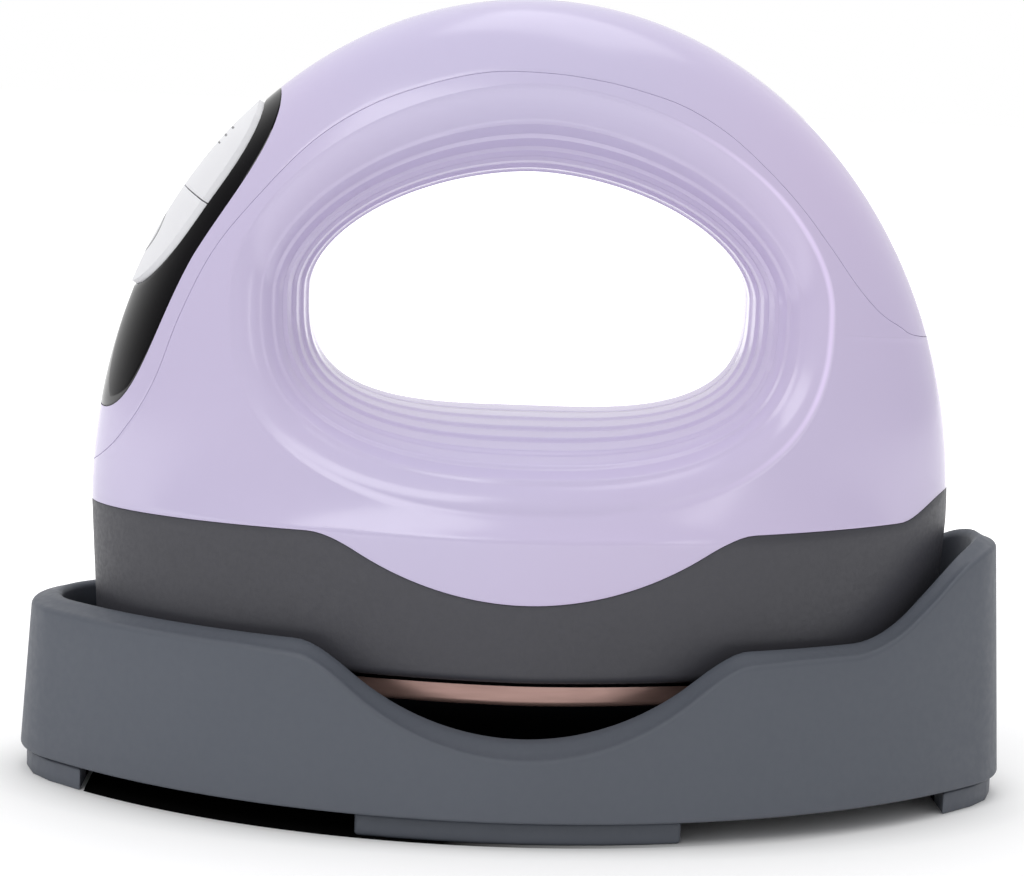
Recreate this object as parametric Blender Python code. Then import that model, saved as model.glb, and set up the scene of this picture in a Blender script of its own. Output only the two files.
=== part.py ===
"""Mini handheld heat press standing in its stand, modelled at real size in metres with +Z up.

The press is a domed body with a finger opening through it. Its long axis lies along X, its
control panel looks towards -X and +Z, and the front of the stand looks towards -Y. The origin
is on the table, under the middle of the stand.
"""
import bpy
import bmesh
from math import atan2, cos, exp, hypot, pi, radians, sin, sqrt
from mathutils import Matrix, Vector

# Clearances
TOUCH_GAP = 0.0003
SEAM_GAP = 0.0003
OVERRUN = 0.004
MERGE_DISTANCE = 0.000001

# Stand
STAND_END_ROOM = 0.00405
STAND_SIDE_ROOM = 0.00075
STAND_TIP_RADIUS = 0.0147
STAND_DRAFT = 0.00135
STAND_DRAFT_HEIGHT = 0.0217
STAND_BOTTOM_FILLET = 0.001
STAND_WALL = 0.0043
STAND_RIM_FILLET = 0.0016
STAND_FLOOR = 0.0026
STAND_FLOOR_FILLET = 0.002
RIM_HEIGHT = 0.022
DIP_HEIGHT = 0.0103
DIP_RADIUS = 0.0375
RAMP_SETBACK = 0.0212
RAMP_SLOPE = 0.88
END_HEIGHT = 0.0353
RIM_BLEND = 0.004

# Feet under the stand and rests in its floor
FOOT_HEIGHT = 0.0034
FOOT_INSET = 0.001
FOOT_FRONT_LENGTH = 0.0436
FOOT_FRONT_DEPTH = 0.010
FOOT_END_DEPTH = 0.0105
REST_RADIUS = 0.004
REST_HEIGHT = 0.009
REST_PAD_HEIGHT = 0.0014
REST_X = 0.040
REST_Y = 0.0105

# Heat plate
PLATE_THICKNESS = 0.005
PLATE_FLANGE = 0.0024
PLATE_INSET = 0.0018
PLATE_EDGE_FILLET = 0.0006
PLATE_CORE_CLEARANCE = 0.0010
BOSS_RADIUS = 0.0032
BOSS_NECK_RADIUS = 0.0024
BOSS_X = 0.024
BOSS_Y = 0.0152
SHADOW_GAP = 0.001

# Heating element, shield and insulation over the plate
ELEMENT_RADIUS = 0.0022
ELEMENT_LEG_X = 0.038
ELEMENT_BEND_X = 0.026
ELEMENT_SPREAD = 0.008
SHIELD_THICKNESS = 0.0006
PAD_THICKNESS = 0.0008
SHIELD_MARGIN = 0.003
SHIELD_EXPONENT = 3.0
SHIELD_HOLE_CLEARANCE = 0.0004

# Press body
BODY_LENGTH = 0.1226
BODY_WIDTH = 0.0616
BODY_RISE = 0.0716
SKIRT_HEIGHT = 0.0196
SKIRT_DRAFT = 0.0011
SKIRT_FILLET = 0.0014
BODY_WALL = 0.0024
DECK_THICKNESS = 0.002
WAIST_SHARE = 0.83
FLARE_HEIGHT = 0.0064
CROWN_SHARE = 0.09
CROWN_POWER = 8
FOOT_EXPONENT = 1.7
TOP_EXPONENT = 2.0
EXPONENT_HEIGHT = 0.0143

# Finger opening and the rolled ring round it
OPENING_WIDTH = 0.062
OPENING_CROWN = 0.02395
OPENING_SILL = 0.01355
OPENING_TOP_EXPONENT = 1.8
OPENING_BOTTOM_EXPONENT = 3.2
RING_SIDE = 0.0100
RING_TOP = 0.012
RING_BOTTOM = 0.0105
RING_TOP_EXPONENT = 1.8
RING_BOTTOM_EXPONENT = 2.6
RIDGE_SETBACK = 0.0002

# Seam between the lilac body and the charcoal skirt
SEAM_RISE = 0.0002
TONGUE_DROP = 0.0089
TONGUE_RADIUS = 0.046
TONGUE_BLEND = 0.0025
SEAM_STEP = 0.0036
SEAM_STEP_START = 0.0485
SEAM_STEP_RUN = 0.0085

# Seam of the top cover, as shares of half the body's length and of its rise
COVER_SEAM_SHARES = (
    (-1.120, -0.020), (-0.965, 0.090), (-0.901, 0.157), (-0.862, 0.211), (-0.831, 0.268), (-0.787, 0.373),
    (-0.717, 0.497), (-0.623, 0.602), (-0.502, 0.712), (-0.380, 0.783), (-0.250, 0.828), (-0.115, 0.856),
    (0.020, 0.858), (0.130, 0.848), (0.220, 0.832), (0.324, 0.804), (0.423, 0.756), (0.514, 0.691),
    (0.594, 0.622), (0.667, 0.545), (0.731, 0.474), (0.786, 0.425), (0.841, 0.395), (0.899, 0.373),
    (1.120, 0.345),
)

# Control panel and its two keys
PANEL_RISE = 0.038
PANEL_LEAN = radians(1.8)
PANEL_LENGTH = 0.0512
PANEL_WIDTH = 0.0214
PANEL_TAPER_SHARE = 0.08
PANEL_SHIFT = -0.0002
PANEL_EXPONENT = 2.7
PANEL_CUT_DEPTH = 0.0118
KEYS_LENGTH = 0.0316
KEYS_WIDTH = 0.0172
KEYS_SHIFT = 0.0068
KEYS_EXPONENT = 2.5
KEY_PROUD = 0.0006
KEY_GAP = 0.0003
KEY_THICKNESS = 0.0042
KEY_FLANGE = 0.0011
KEY_TRAVEL = 0.0008
KEY_STEM_RADIUS = 0.0015
KEY_STEM_OFFSET = 0.008

# Control board behind the panel
CONTROL_DEPTH = 0.0130
CONTROL_LENGTH = 0.044
CONTROL_WIDTH = 0.0150
CONTROL_THICKNESS = 0.0012
CONTROL_SHIFT = 0.0005
SWITCH_SIZE = 0.006
SWITCH_HEIGHT = 0.0034
SWITCH_BUTTON_RADIUS = 0.0016
SWITCH_BUTTON_HEIGHT = 0.0007
LED_RADIUS = 0.0011
LED_HEIGHT = 0.003
LED_PITCH = 0.003
LED_COUNT = 3
LED_START = -0.0125
RIB_WIDTH = 0.003
RIB_BOARD_SHIFT = 0.015
RIB_REACH = 0.012
BOARD_POST_RADIUS = 0.0018
BOARD_POST_SHIFT = -0.0115
BOARD_POST_Y = 0.005
BOARD_PILOT_DEPTH = 0.004

# Power board on the deck
BOARD_LENGTH = 0.076
BOARD_WIDTH = 0.030
BOARD_THICKNESS = 0.0016
BOARD_STANDOFF = 0.005
BOARD_SCREW_INSET = 0.004
BOARD_SCREW_SIDE_INSET = 0.0035
STANDOFF_RADIUS = 0.0024
TRANSFORMER_SIZE = (0.013, 0.015, 0.0085)
RELAY_SIZE = (0.010, 0.013, 0.0078)
CAPACITOR_RADIUS = 0.0032
CAPACITOR_LENGTH = 0.013
TERMINAL_SIZE = (0.006, 0.013, 0.0068)
TERMINAL_INSET = 0.0055
HEADER_SIZE = (0.004, 0.009, 0.003)
HEADER_INSET = 0.0025

# Screws: shaft and head, and the holes that they go in
SCREW_RADIUS = 0.0011
SCREW_HEAD_RADIUS = 0.0021
SCREW_HEAD_HEIGHT = 0.0014
SCREW_SLOT_WIDTH = 0.0006
SCREW_SLOT_DEPTH = 0.0005
POST_RADIUS = 0.0032
POST_SETBACK = 0.001
PILOT_DEPTH = 0.006
SHELL_SCREW_SHOULDER = 0.003
SKIRT_POST_SETBACK = 0.0153
SKIRT_POST_Y = 0.0101
SKIRT_POST_TOP = 0.0045

# Cable slot in the deck, leads, ribbon, cord gland and clamp
SLOT_LENGTH = 0.005
SLOT_WIDTH = 0.014
LEAD_RADIUS = 0.0008
RIBBON_THICKNESS = 0.0008
RIBBON_WIDTH = 0.008
RIBBON_SHIFT = -0.0185
GLAND_RADIUS = 0.0044
GLAND_FLANGE = 0.0012
GLAND_FLANGE_THICKNESS = 0.0014
GLAND_SETBACK = 0.0018
GLAND_PROUD = 0.0008
GLAND_RECESS_RADIUS = 0.003
GLAND_RECESS_DEPTH = 0.0024
GLAND_END_SETBACK = 0.0213
GLAND_RISE = 0.012
CLAMP_SETBACK = 0.0088
CLAMP_SIZE = (0.0046, 0.0130, 0.0046)
CLAMP_GROOVE_RADIUS = 0.0026
CLAMP_SCREW_Y = 0.0046
THERMISTOR_RADIUS = 0.0014
THERMISTOR_LENGTH = 0.006
FUSE_RADIUS = 0.0018
FUSE_LENGTH = 0.010
SENSOR_X = 0.011

# Smoothness of the round forms, as counts of faces
BODY_SIDES = 40
BODY_LEVELS = 10
RING_SIDES = 36
SEAM_STEPS = 31
WALL_STEPS = 5
STAND_SIDE_STEPS = 26
STAND_TIP_STEPS = 5
SHEET_SIDES = 20
ELEMENT_BEND_STEPS = 8
LEAD_STEPS = 3
LEAD_SIDES = 6
RIBBON_STEPS = 3
HALVINGS = 30
ROUND_SIDES = 12
SMALL_SIDES = 8
SHARP_ANGLE = radians(35)

# Levels and half sizes that follow from the sizes above
STAND_FLOOR_LEVEL = FOOT_HEIGHT + STAND_FLOOR
REST_LEVEL = STAND_FLOOR_LEVEL + REST_HEIGHT
PLATE_LEVEL = REST_LEVEL + REST_PAD_HEIGHT + 2 * TOUCH_GAP
FLANGE_LEVEL = PLATE_LEVEL + PLATE_FLANGE
CORE_LEVEL = PLATE_LEVEL + PLATE_THICKNESS
ELEMENT_LEVEL = CORE_LEVEL + TOUCH_GAP + ELEMENT_RADIUS
SHIELD_LEVEL = ELEMENT_LEVEL + ELEMENT_RADIUS + TOUCH_GAP
PAD_LEVEL = SHIELD_LEVEL + SHIELD_THICKNESS + TOUCH_GAP
DECK_LEVEL = PAD_LEVEL + PAD_THICKNESS + TOUCH_GAP
DECK_TOP = DECK_LEVEL + DECK_THICKNESS
BOARD_LEVEL = DECK_TOP + BOARD_STANDOFF
BOARD_TOP = BOARD_LEVEL + BOARD_THICKNESS
SKIRT_LEVEL = FLANGE_LEVEL + SHADOW_GAP
WIDEST_LEVEL = SKIRT_LEVEL + SKIRT_HEIGHT
TOP_LEVEL = WIDEST_LEVEL + BODY_RISE
OPENING_HEIGHT = BODY_RISE - OPENING_CROWN - OPENING_SILL
OPENING_LEVEL = WIDEST_LEVEL + OPENING_SILL + OPENING_HEIGHT / 2
HALF_LENGTH = BODY_LENGTH / 2
HALF_WIDTH = BODY_WIDTH / 2
SCREW_HOLE_RADIUS = SCREW_RADIUS + TOUCH_GAP
STAND_LENGTH = BODY_LENGTH + 2 * (STAND_WALL + STAND_DRAFT + STAND_END_ROOM)
STAND_WIDTH = BODY_WIDTH + 2 * (STAND_WALL + STAND_DRAFT + STAND_SIDE_ROOM)
RAMP_START = STAND_LENGTH / 2 - RAMP_SETBACK
SHIELD_HALF_LENGTH = ELEMENT_LEG_X + SHIELD_MARGIN
SHIELD_HALF_WIDTH = BOSS_Y + BOSS_RADIUS + SHIELD_MARGIN
PANEL_X = -HALF_LENGTH * sqrt(1 - (PANEL_RISE / BODY_RISE) ** 2)
PANEL_SLOPE = atan2(-PANEL_X * BODY_RISE ** 2, PANEL_RISE * HALF_LENGTH ** 2) - PANEL_LEAN
SKIRT_POST_X = HALF_LENGTH - SKIRT_POST_SETBACK
SLOT_X = SKIRT_POST_X
CLAMP_X = HALF_LENGTH - CLAMP_SETBACK
GLAND_X = HALF_LENGTH - GLAND_END_SETBACK
BOARD_SCREW_X = BOARD_LENGTH / 2 - BOARD_SCREW_INSET
BOARD_SCREW_Y = BOARD_WIDTH / 2 - BOARD_SCREW_SIDE_INSET
BOARD_TALL_PARTS = RELAY_SIZE[0] + 2 * CAPACITOR_RADIUS + TRANSFORMER_SIZE[0]
BOARD_END_PARTS = HEADER_INSET + HEADER_SIZE[0] + TERMINAL_SIZE[0] + TERMINAL_INSET
BOARD_PART_GAP = (BOARD_LENGTH - BOARD_TALL_PARTS - BOARD_END_PARTS) / 4
HEADER_X = -BOARD_LENGTH / 2 + HEADER_INSET + HEADER_SIZE[0] / 2
RELAY_X = HEADER_X + (HEADER_SIZE[0] + RELAY_SIZE[0]) / 2 + BOARD_PART_GAP
CAPACITOR_X = RELAY_X + RELAY_SIZE[0] / 2 + CAPACITOR_RADIUS + BOARD_PART_GAP
TRANSFORMER_X = CAPACITOR_X + CAPACITOR_RADIUS + TRANSFORMER_SIZE[0] / 2 + BOARD_PART_GAP
TERMINAL_X = BOARD_LENGTH / 2 - TERMINAL_INSET - TERMINAL_SIZE[0] / 2
SHELL_SCREW_PLACES = (
    (-HALF_LENGTH + BODY_WALL + POST_RADIUS + POST_SETBACK,
     WIDEST_LEVEL + POST_RADIUS + 2 * SEAM_GAP + POST_SETBACK),
    (HALF_LENGTH - BODY_WALL - 2 * POST_RADIUS, WIDEST_LEVEL + SEAM_STEP + 2 * POST_RADIUS),
    (OPENING_WIDTH / 2 + RING_SIDE + 2 * POST_RADIUS, OPENING_LEVEL - 2 * POST_RADIUS),
)

UP = Vector((0, 0, 1))
SIDEWAYS = Vector((0, 1, 0))
PANEL_ALONG = Vector((cos(PANEL_SLOPE), 0, sin(PANEL_SLOPE)))
PANEL_INWARD = Vector((sin(PANEL_SLOPE), 0, -cos(PANEL_SLOPE)))


# Curves

def soft_min(first, second, blend):
    """The smaller of two lengths, rounded off where they cross."""
    share = max(blend - abs(first - second), 0) / blend
    return min(first, second) - share * share * blend / 4


def soft_max(first, second, blend):
    return -soft_min(-first, -second, blend)


def signed_power(value, power):
    return abs(value) ** power if value >= 0 else -abs(value) ** power


def oval_point(angle, half_long, half_wide, exponent):
    """A point of a superellipse, as (along, across)."""
    along = half_long * signed_power(cos(angle), 2 / exponent)
    across = half_wide * signed_power(sin(angle), 2 / exponent)
    return along, across


def turn_angles(count):
    return [2 * pi * step / count for step in range(count)]


def smooth_path(points, steps):
    """Points of a Catmull-Rom curve through the given points."""
    vectors = [Vector(point) for point in points]
    padded = [2 * vectors[0] - vectors[1]] + vectors + [2 * vectors[-1] - vectors[-2]]
    path = []
    for before, start, end, after in zip(padded, padded[1:], padded[2:], padded[3:]):
        for step in range(steps):
            share = step / steps
            pull = (end - before) / 2
            push = (after - start) / 2
            rise = share * share * (3 - 2 * share)
            leave = share * (1 - share) ** 2
            arrive = share * share * (share - 1)
            path.append(start * (1 - rise) + end * rise + pull * leave + push * arrive)
    path.append(vectors[-1])
    return path


def offset_path(path, distance):
    """Move a path in the XZ plane sideways, up where the distance is positive."""
    moved = []
    for index, point in enumerate(path):
        before = path[max(index - 1, 0)]
        after = path[min(index + 1, len(path) - 1)]
        along = (after - before).normalized()
        moved.append(point + distance * Vector((-along.z, 0, along.x)))
    return moved


# Meshes

def new_object(name, shape):
    """Turn a bmesh into an object whose faces point out."""
    bmesh.ops.remove_doubles(shape, verts=shape.verts, dist=MERGE_DISTANCE)
    bmesh.ops.recalc_face_normals(shape, faces=shape.faces)
    mesh = bpy.data.meshes.new(name)
    shape.to_mesh(mesh)
    shape.free()
    piece = bpy.data.objects.new(name, mesh)
    bpy.context.scene.collection.objects.link(piece)
    return piece


def skin(name, rings):
    """Skin a row of rings. A ring of one point closes the shape to a tip."""
    shape = bmesh.new()
    rows = [[shape.verts.new(point) for point in ring] for ring in rings]
    for first, second in zip(rows, rows[1:]):
        for step in range(max(len(first), len(second))):
            corners = [
                first[step % len(first)],
                first[(step + 1) % len(first)],
                second[(step + 1) % len(second)],
                second[step % len(second)],
            ]
            shape.faces.new(list(dict.fromkeys(corners)))
    for row in (rows[0], rows[-1]):
        if len(row) > 1:
            shape.faces.new(row)
    return new_object(name, shape)


def prism(name, outline, along, start, end):
    """Extrude an outline of points along a direction, from start to end."""
    first = [point + along * start for point in outline]
    second = [point + along * end for point in outline]
    return skin(name, [first, second])


def box(name, center, size, turn=None):
    shape = bmesh.new()
    bmesh.ops.create_cube(shape, size=1.0)
    bmesh.ops.scale(shape, verts=shape.verts, vec=Vector(size))
    place = Matrix.Translation(center) @ (turn.to_4x4() if turn else Matrix.Identity(4))
    bmesh.ops.transform(shape, matrix=place, verts=shape.verts)
    return new_object(name, shape)


def round_step(across, beside, turn):
    return across * cos(turn) + beside * sin(turn)


def turned(name, start, along, profile, sides):
    """Turn a profile of (distance, radius) pairs round an axis."""
    direction = along.normalized()
    across = direction.orthogonal().normalized()
    beside = direction.cross(across)
    rings = []
    for distance, radius in profile:
        middle = start + direction * distance
        if radius > 0:
            rings.append([middle + radius * round_step(across, beside, turn) for turn in turn_angles(sides)])
        else:
            rings.append([middle])
    return skin(name, rings)


def rod(name, start, end, radius, sides=ROUND_SIDES):
    return turned(name, start, end - start, [(0, radius), ((end - start).length, radius)], sides)


def tube_along(name, path, radius, sides):
    """A round tube along a path, with flat ends."""
    rings = []
    across = None
    for index, point in enumerate(path):
        before = path[max(index - 1, 0)]
        after = path[min(index + 1, len(path) - 1)]
        along = (after - before).normalized()
        if across is None:
            across = along.orthogonal()
        across = (across - along * across.dot(along)).normalized()
        beside = along.cross(across)
        rings.append([point + radius * round_step(across, beside, turn) for turn in turn_angles(sides)])
    return skin(name, rings)


def duplicate(piece, name):
    copy = bpy.data.objects.new(name, piece.data.copy())
    bpy.context.scene.collection.objects.link(copy)
    return copy


def discard(piece):
    bpy.data.objects.remove(piece, do_unlink=True)


def combine(piece, tool, operation, keep_tool=False):
    """Apply one Boolean to a piece with a tool, and take the tool away."""
    modifier = piece.modifiers.new(operation.lower(), "BOOLEAN")
    modifier.operation = operation
    modifier.object = tool
    graph = bpy.context.evaluated_depsgraph_get()
    mesh = bpy.data.meshes.new_from_object(piece.evaluated_get(graph))
    piece.modifiers.clear()
    piece.data = mesh
    weld(mesh)
    if not keep_tool:
        discard(tool)
    return piece


def weld(mesh):
    """Merge the corners that a Boolean leaves in almost the same place."""
    shape = bmesh.new()
    shape.from_mesh(mesh)
    bmesh.ops.remove_doubles(shape, verts=shape.verts, dist=MERGE_DISTANCE)
    bmesh.ops.dissolve_degenerate(shape, edges=shape.edges, dist=MERGE_DISTANCE)
    shape.to_mesh(mesh)
    shape.free()


def join(piece, tool):
    return combine(piece, tool, "UNION")


def cut(piece, tool):
    return combine(piece, tool, "DIFFERENCE")


def keep(piece, tool):
    return combine(piece, tool, "INTERSECT")


# Surface of the press body

def body_sizes(level, inset):
    """Half length, half width and exponent of the body's section at a level, with its surface set in."""
    height = level - WIDEST_LEVEL
    if height < 0:
        draft = SKIRT_DRAFT * height / SKIRT_HEIGHT
        return HALF_LENGTH - inset + draft, HALF_WIDTH - inset + draft, FOOT_EXPONENT
    share = min(height / (BODY_RISE - inset), 1)
    round_share = sqrt(1 - share * share)
    waist_share = WAIST_SHARE + (1 - WAIST_SHARE) * exp(-height / FLARE_HEIGHT)
    waist_share += CROWN_SHARE * share ** CROWN_POWER
    exponent = TOP_EXPONENT - (TOP_EXPONENT - FOOT_EXPONENT) * exp(-height / EXPONENT_HEIGHT)
    return (HALF_LENGTH - inset) * round_share, (HALF_WIDTH - inset) * round_share * waist_share, exponent


def body_depth(x, level, inset=0):
    """How far the body reaches from the XZ plane at a place in that plane."""
    half_long, half_wide, exponent = body_sizes(level, inset)
    share = min(abs(x) / half_long, 1)
    return half_wide * (1 - share ** exponent) ** (1 / exponent)


def body_section(level, inset):
    half_long, half_wide, exponent = body_sizes(level, inset)
    ring = []
    for angle in turn_angles(BODY_SIDES):
        x, y = oval_point(angle, half_long, half_wide, exponent)
        ring.append(Vector((x, y, level)))
    return ring


def dome_levels(inset):
    rise = BODY_RISE - inset
    return [WIDEST_LEVEL + rise * sin(pi / 2 * (step / BODY_LEVELS) ** 1.25) for step in range(BODY_LEVELS)]


def body_solid(name, inset, bottom):
    """The domed body down to a flat bottom, with its surface set in by inset."""
    rings = [body_section(bottom, inset)] if bottom < WIDEST_LEVEL else []
    rings += [body_section(level, inset) for level in dome_levels(inset)]
    rings.append([Vector((0, 0, TOP_LEVEL - inset))])
    return skin(name, rings)


def outer_body():
    fillet_share = 0.3
    rings = [
        body_section(SKIRT_LEVEL, SKIRT_FILLET),
        body_section(SKIRT_LEVEL + fillet_share * SKIRT_FILLET, fillet_share * SKIRT_FILLET),
        body_section(SKIRT_LEVEL + SKIRT_FILLET, 0),
    ]
    rings += [body_section(level, 0) for level in dome_levels(0)]
    rings.append([Vector((0, 0, TOP_LEVEL))])
    return skin("outer_body", rings)


# Finger opening

def ring_places(angle):
    """Where a ray from the opening's middle meets the opening and the ridge of the ring round it."""
    upper = sin(angle) >= 0
    opening_exponent = OPENING_TOP_EXPONENT if upper else OPENING_BOTTOM_EXPONENT
    ridge_exponent = RING_TOP_EXPONENT if upper else RING_BOTTOM_EXPONENT
    ridge_rise = OPENING_HEIGHT / 2 + (RING_TOP if upper else RING_BOTTOM)
    x, z = oval_point(angle, OPENING_WIDTH / 2, OPENING_HEIGHT / 2, opening_exponent)
    opening = Vector((x, 0, OPENING_LEVEL + z))
    x, z = oval_point(angle, OPENING_WIDTH / 2 + RING_SIDE, ridge_rise, ridge_exponent)
    return opening, Vector((x, 0, OPENING_LEVEL + z))


def opening_tool(name, profile):
    """The space of the finger opening. Its profile is a list of (quarter turn, growth) pairs."""
    rows = []
    ends = [(1, profile[-1][1], True)]
    front = ends + [(turn_share, growth, False) for turn_share, growth in reversed(profile)]
    for side, steps in ((1, front), (-1, list(reversed(front))[1:])):
        for turn_share, growth, past in steps:
            turn = turn_share * pi / 2
            row = []
            for angle in turn_angles(RING_SIDES):
                opening, ridge = ring_places(angle)
                outward = ridge - opening
                width = outward.length
                depth = body_depth(ridge.x, ridge.z) - RIDGE_SETBACK
                slant = hypot(depth * cos(turn), width * sin(turn))
                reach = width * (1 - cos(turn)) + growth * depth * cos(turn) / slant
                y = depth * sin(turn) - growth * width * sin(turn) / slant
                if past:
                    y = HALF_WIDTH + OVERRUN
                row.append(opening + outward / width * reach + SIDEWAYS * y * side)
            rows.append(row)
    return skin(name, rows)


def plain_profile(growth):
    return [(step / WALL_STEPS, growth) for step in range(WALL_STEPS + 1)]


# Seams and panel

def skirt_seam(x):
    """Level of the seam between the skirt and the lilac body."""
    share = min(max((x - SEAM_STEP_START) / SEAM_STEP_RUN, 0), 1)
    level = WIDEST_LEVEL + SEAM_RISE + SEAM_STEP * share * share * (3 - 2 * share)
    if abs(x) >= TONGUE_RADIUS:
        return level
    tongue = WIDEST_LEVEL + SEAM_RISE - TONGUE_DROP + TONGUE_RADIUS - sqrt(TONGUE_RADIUS ** 2 - x * x)
    return soft_min(level, tongue, TONGUE_BLEND)


def below_seam(shift):
    """Everything under the skirt's seam, moved up by shift."""
    reach = HALF_LENGTH + OVERRUN
    path = []
    for step in range(SEAM_STEPS + 1):
        x = reach * (2 * step / SEAM_STEPS - 1)
        path.append(Vector((x, 0, skirt_seam(x))))
    outline = offset_path(path, shift)
    floor = SKIRT_LEVEL - OVERRUN
    outline += [Vector((outline[-1].x, 0, floor)), Vector((outline[0].x, 0, floor))]
    return prism("below_seam", outline, SIDEWAYS, -HALF_WIDTH - OVERRUN, HALF_WIDTH + OVERRUN)


def above_cover_seam(shift):
    """Everything over the top cover's seam, moved up by shift."""
    places = [(x * HALF_LENGTH, 0, WIDEST_LEVEL + z * BODY_RISE) for x, z in COVER_SEAM_SHARES]
    outline = offset_path(smooth_path(places, 2), shift)
    ceiling = TOP_LEVEL + OVERRUN
    outline += [Vector((outline[-1].x, 0, ceiling)), Vector((outline[0].x, 0, ceiling))]
    return prism("above_seam", outline, SIDEWAYS, -HALF_WIDTH - OVERRUN, HALF_WIDTH + OVERRUN)


def half_space(name, side):
    """Everything on one side of the XZ plane, past half the seam's gap."""
    size = Vector((BODY_LENGTH + 2 * OVERRUN, HALF_WIDTH + OVERRUN, TOP_LEVEL + 2 * OVERRUN))
    middle = Vector((0, side * (SEAM_GAP / 2 + size.y / 2), size.z / 2))
    return box(name, middle, size)


def panel_point(shift, y=0, depth=0):
    """A point by its place along the panel, across it and inward from it."""
    start = Vector((PANEL_X, 0, WIDEST_LEVEL + PANEL_RISE))
    return start + PANEL_ALONG * shift + SIDEWAYS * y + PANEL_INWARD * depth


def panel_oval(name, shift, length, width, exponent, growth, taper=0):
    """A prism through the panel, along the keys' travel, wider at its upper end by its taper."""
    outline = []
    for angle in turn_angles(RING_SIDES):
        angle += pi / RING_SIDES
        along, across = oval_point(angle, length / 2 + growth, width / 2 + growth, exponent)
        outline.append(panel_point(shift + along, across * (1 + 2 * taper * along / length)))
    return prism(name, outline, PANEL_INWARD, -OVERRUN, PANEL_CUT_DEPTH)


def panel_cut(growth):
    sizes = (PANEL_SHIFT, PANEL_LENGTH, PANEL_WIDTH, PANEL_EXPONENT, growth, PANEL_TAPER_SHARE)
    return panel_oval("panel_cut", *sizes)


def keys_cut(growth):
    return panel_oval("keys_cut", KEYS_SHIFT, KEYS_LENGTH, KEYS_WIDTH, KEYS_EXPONENT, growth)


def panel_turn():
    """Rotation of a box that lies along the panel."""
    return Matrix((PANEL_ALONG, SIDEWAYS, PANEL_INWARD)).transposed()


def panel_depth(shift, y, inset):
    """How deep under the panel's plane the body's surface lies, on a surface set in by inset."""
    shallow = -OVERRUN
    deep = PANEL_CUT_DEPTH
    for _ in range(HALVINGS):
        depth = (shallow + deep) / 2
        point = panel_point(shift, y, depth)
        half_long, half_wide, exponent = body_sizes(point.z, inset)
        if (abs(point.x) / half_long) ** exponent + (abs(point.y) / half_wide) ** exponent < 1:
            deep = depth
        else:
            shallow = depth
    return deep


# Press body: wall, skirt, shells, cover and panel

def body_wall():
    """The whole wall of the press, with the finger opening, the inner space and the space under the deck."""
    space = body_solid("inner_space", BODY_WALL, DECK_TOP)
    cut(space, opening_tool("opening_wall", plain_profile(BODY_WALL)))
    wall = outer_body()
    cut(wall, opening_tool("opening", plain_profile(0)))
    cut(wall, space)
    under_deck = [body_section(SKIRT_LEVEL - OVERRUN, BODY_WALL), body_section(DECK_LEVEL, BODY_WALL)]
    return cut(wall, skin("under_deck", under_deck))


def deck_hole(piece, x, y, top=None):
    start = Vector((x, y, DECK_LEVEL - OVERRUN))
    end = Vector((x, y, top or DECK_TOP + OVERRUN))
    return cut(piece, rod("hole", start, end, SCREW_HOLE_RADIUS, SMALL_SIDES))


def make_skirt(wall):
    skirt = keep(duplicate(wall, "skirt"), below_seam(-SEAM_GAP / 2))
    for x, y in corners(BOARD_SCREW_X, BOARD_SCREW_Y):
        foot = Vector((x, y, DECK_TOP - DECK_THICKNESS / 2))
        top = Vector((x, y, BOARD_LEVEL - TOUCH_GAP))
        join(skirt, rod("standoff", foot, top, STANDOFF_RADIUS, SMALL_SIDES))
        pilot = Vector((x, y, BOARD_LEVEL - BOARD_PILOT_DEPTH))
        cut(skirt, rod("pilot", pilot, top + UP * OVERRUN, SCREW_HOLE_RADIUS, SMALL_SIDES))
    for x, y in corners(BOSS_X, BOSS_Y) + corners(SKIRT_POST_X, SKIRT_POST_Y):
        deck_hole(skirt, x, y)
    for side in (-1, 1):
        deck_hole(skirt, CLAMP_X, side * CLAMP_SCREW_Y)
    slot = Vector((SLOT_LENGTH, SLOT_WIDTH, DECK_THICKNESS + 2 * OVERRUN))
    return cut(skirt, box("slot", Vector((SLOT_X, 0, (DECK_LEVEL + DECK_TOP) / 2)), slot))


def skirt_lug(x, y):
    """A post that the skirt's screw goes up into, with a web to the shell's wall."""
    foot = Vector((x, y, DECK_TOP + TOUCH_GAP))
    top = Vector((x, y, WIDEST_LEVEL + SKIRT_POST_TOP))
    lug = rod("lug", foot, top, POST_RADIUS, ROUND_SIDES)
    web_foot = WIDEST_LEVEL + SEAM_RISE + POST_RADIUS / 3
    web_size = Vector((POST_RADIUS, HALF_WIDTH, top.z - web_foot - POST_RADIUS / 3))
    web_middle = Vector((x, y + HALF_WIDTH / 2 * (1 if y > 0 else -1), web_foot + web_size.z / 2))
    join(lug, box("web", web_middle, web_size))
    keep(lug, body_solid("middle_of_wall", BODY_WALL / 2, DECK_LEVEL))
    pilot = rod("pilot", foot - UP * OVERRUN, foot + UP * PILOT_DEPTH, SCREW_HOLE_RADIUS, SMALL_SIDES)
    return cut(lug, pilot)


def board_rib(side):
    """A rib from the opening's wall to the back of the control board."""
    front = CONTROL_DEPTH + CONTROL_THICKNESS + TOUCH_GAP
    size = Vector((RIB_WIDTH, CONTROL_WIDTH / 2 - SEAM_GAP / 2, RIB_REACH))
    middle = panel_point(RIB_BOARD_SHIFT, side * (SEAM_GAP / 2 + size.y / 2), front + size.z / 2)
    rib = box("rib", middle, size, panel_turn())
    return cut(rib, opening_tool("middle_of_opening_wall", plain_profile(BODY_WALL / 2)))


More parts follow.
